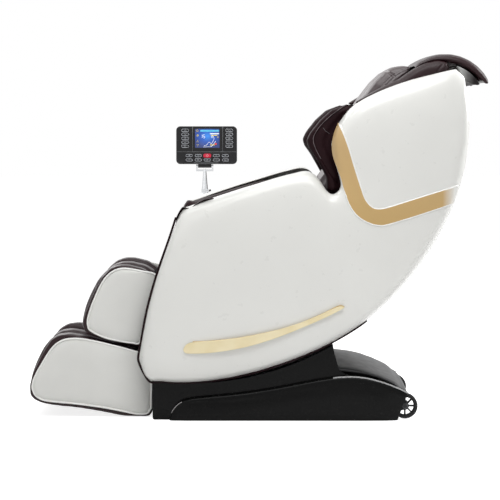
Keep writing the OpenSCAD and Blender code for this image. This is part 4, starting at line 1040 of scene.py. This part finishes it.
sewn = [backLine(along(s * (pillowShape["long"] + o), 645, 925), tree, stitchLift)
        for s in (-1, 1) for o in pillowShape["stitch"]]
place(pillow, "cabin", pillowLeather, ["neck_pillow"])
stitches("pillowStitches", sewn, "cabin")
print("pillow made")

# shoulder wings: outer band round a recessed panel, with a grey line between them and a short one along a
# crease, both painted highlights
wingShape = {"voxel": 4.5, "pressure": 3, "shrink": 1.5, "cap": 5, "back": 7, "depth": 7, "edge": 5,
             "panel": [(345, 1022), (332, 1019), (281, 998), (235, 969), (197, 935), (174, 903), (169, 882),
                       (176, 857),
                       (193, 824), (218, 781), (242, 748), (262, 735), (310, 738), (345, 830), (345, 890),
                       (392, 975)],
             "crease": [(200, 922), (208, 912), (221, 903)]}
wing = copyNode("left_shoulder_wing", "leftShoulderWing")
puff(wing, wingShape,
     lambda p, n: np.clip((0.20 - p[:, 0]) / 0.08 + 0.4, 0.1, 1) * np.clip((0.283 + p[:, 1]) / 0.01, 0.1, 1))
co = pointsOf(wing.data)
co[:, 0] += wingShape["back"] * mm * np.clip((0.27 - co[:, 0]) / 0.1, 0, 1)
setPoints(wing.data, co)
sink(wing, wingShape["panel"], wingShape["depth"], wingShape["edge"])
tree = treeOf(wing)
creaseLine = laid(tree, wingShape["crease"], step=2.0)
carve(wing, [creaseLine], 5, 2)
edgeHighlightLine = laid(treeOf(wing), wingShape["panel"][1:9], 0.2)
edgeHighlightLine = [p for i, p in enumerate(edgeHighlightLine) if i == 0 or (p - edgeHighlightLine[i - 1]).length < 8 * mm]
both(wing, "leftShoulderWing", "rightShoulderWing", "cabin", edgeLeather, ["shoulder_wing"])
# grey lines laid on the wing as painted highlights
beads("WingEdgeHighlight", edgeHighlightLine, 1.2, "cabin", wingHighlightGrey)
beads("WingCreaseHighlight", creaseLine, 0.9, "cabin", wingHighlightGrey)
print("wings made")

# arm pads: glossy roll inside the shell's rim, its top drawn down, and up again under the tablet's foot
armShape = {"range": 110, "boss": 60, "rise": 12,
            "sink": [(-243, 0), (-218, 24), (-192, 24), (-142, 28), (-92, 28), (-42, 27.5), (8, 26.8),
                     (33, 28.7), (58, 29.5), (83, 30),
                     (108, 29), (133, 23), (160, 23)]}
arm = roundedCopy("left_arm_pad", "leftArmPad", 60, 0.3)
relax(arm, rimWeight(arm, 6 * mm), 10)
co = pointsOf(arm.data)
x, z = co[:, 0] / mm, co[:, 2] / mm
near = np.clip(1 - (read(shellShape["armTop"], x) - z) / armShape["range"], 0, 1)
co[:, 2] -= read(armShape["sink"], x) * near * mm
setPoints(arm.data, co)
armRight = mirrored(arm, "rightArmPad")
foot = sum((Vector(c) for c in nodes["tablet_foot"].bound_box), Vector()) / 8
co = pointsOf(arm.data)
d = np.clip(np.hypot(co[:, 0] - foot.x, co[:, 1] - foot.y) / (armShape["boss"] * mm), 0, 1)
co[:, 2] += armShape["rise"] * mm * (1 - d * d) ** 2 * near
setPoints(arm.data, co)
place(arm, "cabin", edgeLeather, ["left_arm_pad"])
place(armRight, "cabin", edgeLeather, ["right_arm_pad"])
print("arm pads made")

# head pads, with a pair of seams before their rear end
headShape = {"voxel": 4.5, "pressure": 3, "shrink": 1.5, "cap": 5, "reach": 60,
             "top": [(436, 1072), (480, 1096), (520, 1118), (560, 1128), (588, 1124), (598, 1110)],
             "lift": [(440, 0), (465, 8), (500, 10), (560, 8), (590, 7), (598, 5)],
             "seams": [[(553, 1090), (563, 1106), (574, 1120)], [(574, 1092), (584, 1107), (592, 1119)]]}
head = copyNode("left_head_pad", "leftHeadPad")
co = pointsOf(head.data)
near = np.clip(1 - (read(headShape["top"], co[:, 0] / mm) - co[:, 2] / mm) / headShape["reach"], 0, 1)
co[:, 2] += read(headShape["lift"], co[:, 0] / mm) * near * mm
setPoints(head.data, co)
puff(head, headShape,
     lambda p, n: np.clip(n[:, 2] + 0.2, 0.1, 1) * np.clip((0.292 + p[:, 1]) / 0.02, 0.1, 1))
tree = treeOf(head)
carve(head, [laid(tree, seam, step=2.0) for seam in headShape["seams"]], 4, 2)
both(head, "leftHeadPad", "rightHeadPad", "cabin", brownLeather, ["head_pad"])

# hood: an arched padded canopy with a seam down each side
hoodShape = {"voxel": 5.0, "pressure": 3, "shrink": 2, "cap": 5, "centre": (588, 1000), "seam": 252,
             "reach": 250}
hood = copyNode("hood_pad", "hoodPad")
puff(hood, hoodShape, lambda p, n: np.clip((0.262 - np.abs(p[:, 1])) / 0.05, 0.1, 1) * 0.8)
tree = treeOf(hood)
for s in (-1, 1):
    line = []
    for a in range(-36, 61, 3):
        way = Vector((math.sin(math.radians(a)), 0, math.cos(math.radians(a))))
        middle = Vector((hoodShape["centre"][0], s * hoodShape["seam"], hoodShape["centre"][1])) * mm
        line += bare(drop(tree, [middle + way * (hoodShape["reach"] * mm)], -way, 0.2))
    carve(hood, [line], 6, 2)
place(hood, "cabin", brownLeather, ["hood_pad"])
print("hood made")

# leg rest: along the leg and out of it, from the hinge
knee = Vector((-0.312, 0, 0.460))
down, front = Vector((-0.26993, 0, -0.96288)), Vector((-0.96288, 0, 0.26993))


def legPoint(e, f):
    p = knee + down * (e * mm) + front * (f * mm)
    return (p.x / mm, p.z / mm)


legShape = {"voxel": 5.0, "pressure": 3, "shrink": 0, "cap": 7, "grow": 4.0, "panelRimHighlight": 3.0, "clear": 3,
            "foot": [((-717, 99), 170, (-5, -4)), ((-346, 33), 170, (1, -7)), ((-635, 250), 110, (-5, 3))]}


def reshape(piece, key):
    # the foot part's corners drawn outwards, and its underside kept off the floor
    for centre, reach, shift in legShape.get(key, []):
        nudge(piece, [q * mm for q in centre], reach * mm, [q * mm for q in shift])
    co, gap = pointsOf(piece.data), legShape["clear"] * mm
    under = np.maximum(2 * gap - co[:, 2], 0)
    co[:, 2] += under - gap * (1 - np.exp(-under / gap))
    setPoints(piece.data, co)


def legMore(p, n):
    # thicker where the pad looks forward, and over its lower end
    low = (p - np.array(knee)) @ np.array(down) / 0.1 - 3.9
    swell = np.clip(1.4 * np.maximum(n @ np.array(front), low), 0, 1)
    return legShape["grow"] * mm * swell * (np.abs(n[:, 1]) < 0.9)


def legFree(p, n):
    return np.clip(n @ np.array(front) + 0.1, 0.05, 1) * np.clip((0.223 - np.abs(p[:, 1])) / 0.004, 0.3, 1)


for nodeName, pieceName, body in (("calf_pad", "calfPad", "leg_rest"), ("foot_pad", "footPad", "foot_rest")):
    pad = copyNode(nodeName, pieceName)
    puff(pad, legShape, legFree, legMore)
    reshape(pad, nodeName[:4])
    place(pad, body, brownLeather, [nodeName])

panelShape = {
    "calf": [(9, 14), (10, 62), (14, 104), (21, 128), (34, 147), (56, 163), (88, 174), (130, 181),
             (170, 185), (204, 185),
             (223, 179), (236, 167), (245, 120), (243, 70), (238, 30), (230, 6), (178, 6), (130, 6), (84, 6),
             (38, 6)],
    "foot": [(259, -36), (262, 2), (262, 46), (263, 90), (265, 140), (269, 178), (277, 210), (290, 236),
             (311, 257),
             (342, 273), (377, 285), (410, 293), (438, 296), (457, 293), (466, 288), (476, 280), (482, 269),
             (486, 252),
             (485, 230), (481, 200), (475, 160), (468, 110), (461, 60), (453, 0), (447, -44), (437, -72),
             (422, -80),
             (400, -78)]}
for key, nodeName, pieceName, body in (("calf", "calf_side_panels", "calfSidePanels", "leg_rest"),
                                       ("foot", "foot_side_panels", "footSidePanels", "foot_rest")):
    panel = roundedCopy(nodeName, pieceName, 60, 0.3)
    reshape(panel, key)
    place(panel, body, whiteLeather, [nodeName])
    outline = [legPoint(e, f) for e, f in panelShape[key]]
    # a white tube round the panel's rim, a painted highlight there
    piping = tube("piping", sideLine(outline, -228, 4.0, True), legShape["panelRimHighlight"], closed=True)
    reshape(piping, key)
    other = mirrored(piping, "rimHighlightRight")
    place(join(key + "PanelPiping", [other, piping]), body, whitePipingAndRimHighlight)
print("leg rest made")


def plate(name, x, z, width, height, y, thick, corner, material, body="tablet", bevel=0.3):
    # a thin moulded plate facing -Y: cube at its size and place, corners and rim rounded
    piece = pick(block(name, (x, y + thick / 2, z), (width, thick, height)))
    bpy.ops.object.mode_set(mode="EDIT")
    bpy.ops.mesh.select_mode(type="EDGE")
    bpy.ops.mesh.select_all(action="DESELECT")
    objectMode(piece)
    for e in piece.data.edges:
        a, b = (piece.data.vertices[i].co for i in e.vertices)
        e.select = abs(a.y - b.y) > 0.5 * thick * mm
    bpy.ops.object.mode_set(mode="EDIT")
    bpy.ops.mesh.bevel(offset=corner * mm, segments=5)
    objectMode(piece)
    if bevel:
        bevelEdges(piece, bevel, 2, 50)
    if material:
        place(piece, body, material)
    return piece


def strokes(name, lines, y, radius, material, body="tablet"):
    # printed lines, a little proud, as one piece; each line is (closed, [(x, z), …]) in mm
    made = [tube(name, [Vector((x * mm, y * mm, z * mm)) for x, z in points], radius, closed, 1)
            for closed, points in lines]
    return place(join(name, made), body, material)


def pill(x, z, w, h, r, steps=5):
    out = []
    cx, cz = w / 2 - r, h / 2 - r
    for cx, cz, a0 in ((cx, cz, 0), (-cx, cz, 90), (-cx, -cz, 180), (cx, -cz, 270)):
        for i in range(steps + 1):
            a = math.radians(a0 + 90 * i / steps)
            out.append((x + cx + r * math.cos(a), z + cz + r * math.sin(a)))
    return out


def ring(x, z, r, a0=0, a1=360, steps=18):
    turns = [math.radians(a0 + (a1 - a0) * i / steps) for i in range(steps + (0 if a1 - a0 == 360 else 1))]
    return [(x + r * math.cos(a), z + r * math.sin(a)) for a in turns]


# tablet: case, glass with a lit screen, printed rings round the keys and a grey grid
tablet = {"front": -320.0, "middle": -163.0, "keyRow": 28.2, "rows": (835.0, 821.6),
          "sideKeys": [(s, 914 - 12.4 * i) for s in (-69, 69) for i in range(5)]}
case = bevelledCopy("tablet_case", "tabletCase", 0.8, 2, 50)
place(case, "tablet", tabletAbs, ["tablet_case"])
plate("screenGlass", -163, 889, 77, 59, tablet["front"] + 0.5, 0.9, 1.6, lcdBlue)
faceY = tablet["front"] + 0.3

bars = [("statusBar", -155.5, 912.5, 58, 5.4, lcdCyan), ("timerBar", -140.5, 903.5, 28, 3.6, lcdWhite),
        ("strengthBar", -141.5, 898.2, 20, 2.2, lcdYellow), ("speedBar", -147, 868.5, 15, 2.6, lcdYellow),
        ("heatBar", -136.5, 871.5, 6, 5.5, lcdRed)]
for name, x, z, w, h, material in bars:
    plate(name, x, z, w, h, faceY, 0.3, 0.8, material, bevel=0.0)
body = [(-146, 897), (-141.5, 889), (-145, 880), (-150, 873), (-158, 877), (-165, 868), (-173, 866)]
strokes("reclinerFigure", [(False, [(q.x, q.z) for q in smoothLine([(x, 0, z) for x, z in body], 6)]),
                           (True, ring(-147.5, 893.5, 2.6)),
                           (False, [(-176, 862), (-150, 863), (-136, 880)])], faceY, 0.65, lcdWhite)
strokes("screenSymbols", [(True, ring(-194, 913, 3.0)), (True, ring(-193, 898, 2.6)),
                          (False, [(-196, 895), (-190, 901)]),
                          (True, [(-196, 878), (-190, 878), (-193, 884)]),
                          (True, [(-196, 870), (-190, 870), (-193, 864)]),
                          (False, [(-130, 896), (-130, 890)]), (False, [(-133, 893), (-127, 893)])], faceY,
                          0.5, lcdYellow)
strokes("printedGrid", [(False, [(-209, 926), (-209, 848)]), (False, [(-115, 926), (-115, 848)]),
                        (False, [(-257, 847), (-72, 847)])],
        tablet["front"] + 0.1, 0.4, printGrey)

# seven-bar digits of the timer
digitShape = {"w": 5.4, "h": 10.0, "at": (-181.5, 895.0), "step": 8.0}
segments = {"1": "bc", "5": "afgcd"}
lines = []
for i, digit in enumerate("15"):
    cx, cz = digitShape["at"][0] + digitShape["step"] * i, digitShape["at"][1]
    w, h = digitShape["w"] / 2, digitShape["h"] / 2
    bar = {"a": [(-w, h), (w, h)], "b": [(w, h), (w, 0)], "c": [(w, 0), (w, -h)], "d": [(-w, -h), (w, -h)],
           "f": [(-w, h), (-w, 0)], "g": [(-w, 0), (w, 0)]}
    lines += [(False, [(cx + x, cz + z) for x, z in bar[k]]) for k in segments[digit]]
strokes("timerDigits", lines, faceY, 0.7, lcdWhite)

keyY = tablet["front"] - 1.5
rings = [(True, pill(tablet["middle"] + dx, z, 22, 8, 4)) for dx, z in tablet["sideKeys"]]
lowKeys = [(tablet["middle"] + i * tablet["keyRow"], z) for z in tablet["rows"] for i in (-2, -1, 0, 1, 2)
           if not (i == 0 and z == tablet["rows"][0])]
rings += [(True, pill(x, z, 20, 7.6, 3.8)) for x, z in lowKeys]
strokes("keyRings", rings, keyY, 0.42, printWhite)
marks = []
for i, (dx, z) in enumerate(tablet["sideKeys"]):
    x = tablet["middle"] + dx
    marks.append([(False, [(x - 3, z - 1.4), (x, z + 1.8), (x + 3, z - 1.4)]),
                  (False, [(x - 3, z + 1.4), (x, z - 1.8), (x + 3, z + 1.4)]),
                  (True, ring(x, z, 2.0)), (False, [(x - 3, z), (x + 3, z)]),
                  (False, ring(x, z, 2.2, 40, 320))][i % 5])
for i, (x, z) in enumerate(lowKeys):
    marks += [[(False, [(x - 2.2, z), (x + 2.2, z)]), (False, [(x, z - 2.2), (x, z + 2.2)])],
              [(False, [(x - 2.4, z), (x + 2.4, z)])],
              [(True, [(x - 1.8, z - 2), (x - 1.8, z + 2), (x + 2.2, z)])]][i % 3]
strokes("keySymbols", marks, keyY, 0.35, printWhite)
px, pz = tablet["middle"], tablet["rows"][0]
strokes("powerSymbol", [(False, ring(px, pz, 3.2, 120, 420)), (False, [(px, pz + 0.6), (px, pz + 4.0)])],
        tablet["front"] - 1.6, 0.45, printWhite)
strokes("tabletLip", [(False, [(-205, 809.4), (-128, 809.4)]), (False, [(-205, 813), (-128, 813)])],
        tablet["front"] + 0.1, 0.4, printGrey)
print("tablet made")

# mains rocker: cap in two halves, the upper one pressed in, and screws round the rear panel
rocker = {"at": (440, -101, 60), "size": (6.0, 11.0, 13.0), "press": 2.2}
screwShape = {"x": 434.2, "y": (-228, -60, 60, 228), "z": (22, 74), "head": 3.4, "thick": 2.4}
rockerCap = block("rockerCap", rocker["at"], rocker["size"])
editAll(rockerCap)
bpy.ops.mesh.bisect(plane_co=[q * mm for q in rocker["at"]], plane_no=(0, 0, 1))
objectMode(rockerCap)
for v in rockerCap.data.vertices:
    if v.co.x > (rocker["at"][0] + 0.5) * mm and v.co.z > (rocker["at"][2] + 0.5) * mm:
        v.co.x -= rocker["press"] * mm
bevelEdges(rockerCap, 0.5, 2, 25)
place(rockerCap, "base", redKey)
screw = disc(20, screwShape["head"], screwShape["thick"], (0, math.pi / 2, 0), (screwShape["x"], 0, 0))
insetFaces(screw, lambda n: n.x > 0.9, [(1.5, 0), (0.2, -1.2)])
bevelEdges(screw, 0.3, 2, 40)
screws = []
for y in screwShape["y"]:
    for z in screwShape["z"]:
        pick(screw)
        bpy.ops.object.duplicate(linked=False)
        one = bpy.context.active_object
        one.location = (0, y * mm, z * mm)
        screws.append(settle(one))
pick(screw)
bpy.ops.object.delete()
place(join("rearScrews", screws), "base", groundSteel)
print("rear panel dressed")

# floor and world: white where the camera or a reflection sees them, plain pale light elsewhere
studio = {"floor": 0.82, "light": 0.255}


def directly(tree):
    # 1 where the camera, a reflection or glass sees it, 0 elsewhere
    ray = add(tree, "ShaderNodeLightPath")
    seen = ray.outputs["Is Camera Ray"]
    for kind in ("Is Glossy Ray", "Is Transmission Ray"):
        seen = add(tree, "ShaderNodeMath", {"operation": "MAXIMUM"}, i0=seen, i1=ray.outputs[kind]).outputs[0]
    return seen


bpy.ops.mesh.primitive_plane_add(size=60, location=(0, 0, 0))
floor = bpy.context.active_object
floor.name = "floor"
floorPaint = bpy.data.materials.new("paleFloorPaint")
floorPaint.use_nodes = True
t = floorPaint.node_tree
t.nodes.clear()
glowing = add(t, "ShaderNodeMath", {"operation": "MULTIPLY"}, i0=directly(t), i1=studio["floor"])
matt = add(t, "ShaderNodeBsdfDiffuse", Color=(0.8, 0.8, 0.8, 1))
shine = add(t, "ShaderNodeEmission", Color=(1, 1, 1, 1), Strength=glowing.outputs[0])
mix = add(t, "ShaderNodeAddShader", i0=matt.outputs[0], i1=shine.outputs[0])
add(t, "ShaderNodeOutputMaterial", Surface=mix.outputs[0])
floor.data.materials.append(floorPaint)

world = bpy.data.worlds.new("studio")
bpy.context.scene.world = world
world.use_nodes = True
t = world.node_tree
t.nodes.clear()
soft = add(t, "ShaderNodeBackground", Color=(1, 1, 1, 1), Strength=studio["light"])
shown = add(t, "ShaderNodeBackground", Color=(1, 1, 1, 1), Strength=1.0)
mix = add(t, "ShaderNodeMixShader", i0=directly(t), i1=soft.outputs[0], i2=shown.outputs[0])
add(t, "ShaderNodeOutputWorld", Surface=mix.outputs[0])


def lamp(name, at, aim, size, power):
    light = bpy.data.lights.new(name, "AREA")
    light.shape, light.size, light.size_y, light.energy = "RECTANGLE", size[0], size[1], power
    o = bpy.data.objects.new(name, light)
    bpy.context.scene.collection.objects.link(o)
    o.location = at
    o.rotation_euler = (Vector(aim) - Vector(at)).to_track_quat("-Z", "Y").to_euler()


lamp("topSoftbox", (-0.3, -0.6, 3.6), (0, 0, 0.5), (3.0, 2.2), 58)
lamp("highFrontSoftbox", (0.3, -2.3, 2.9), (0.35, 0, 1.0), (2.4, 1.0), 44)
lamp("legSoftbox", (-1.8, -2.6, 1.5), (-0.5, 0, 0.3), (1.6, 1.4), 5)
lamp("rearStrip", (2.6, 0.6, 1.9), (0.4, 0, 0.7), (0.8, 2.0), 60)
lamp("farSoftbox", (-1.6, 2.8, 2.2), (0, 0, 0.6), (2.0, 2.0), 24)

view = {"at": (-0.0294, -7.5, 0.95), "down": 3.272, "sensor": 36, "lens": 165.26}
cameraData = bpy.data.cameras.new("camera")
camera = bpy.data.objects.new("camera", cameraData)
bpy.context.scene.collection.objects.link(camera)
camera.location = view["at"]
camera.rotation_euler = (math.radians(90 - view["down"]), 0, 0)
cameraData.sensor_width, cameraData.lens = view["sensor"], view["lens"]
cameraData.clip_start, cameraData.clip_end = 0.05, 100
bpy.context.scene.camera = camera
bpy.context.scene.view_settings.view_transform = "Standard"
print("stage set")
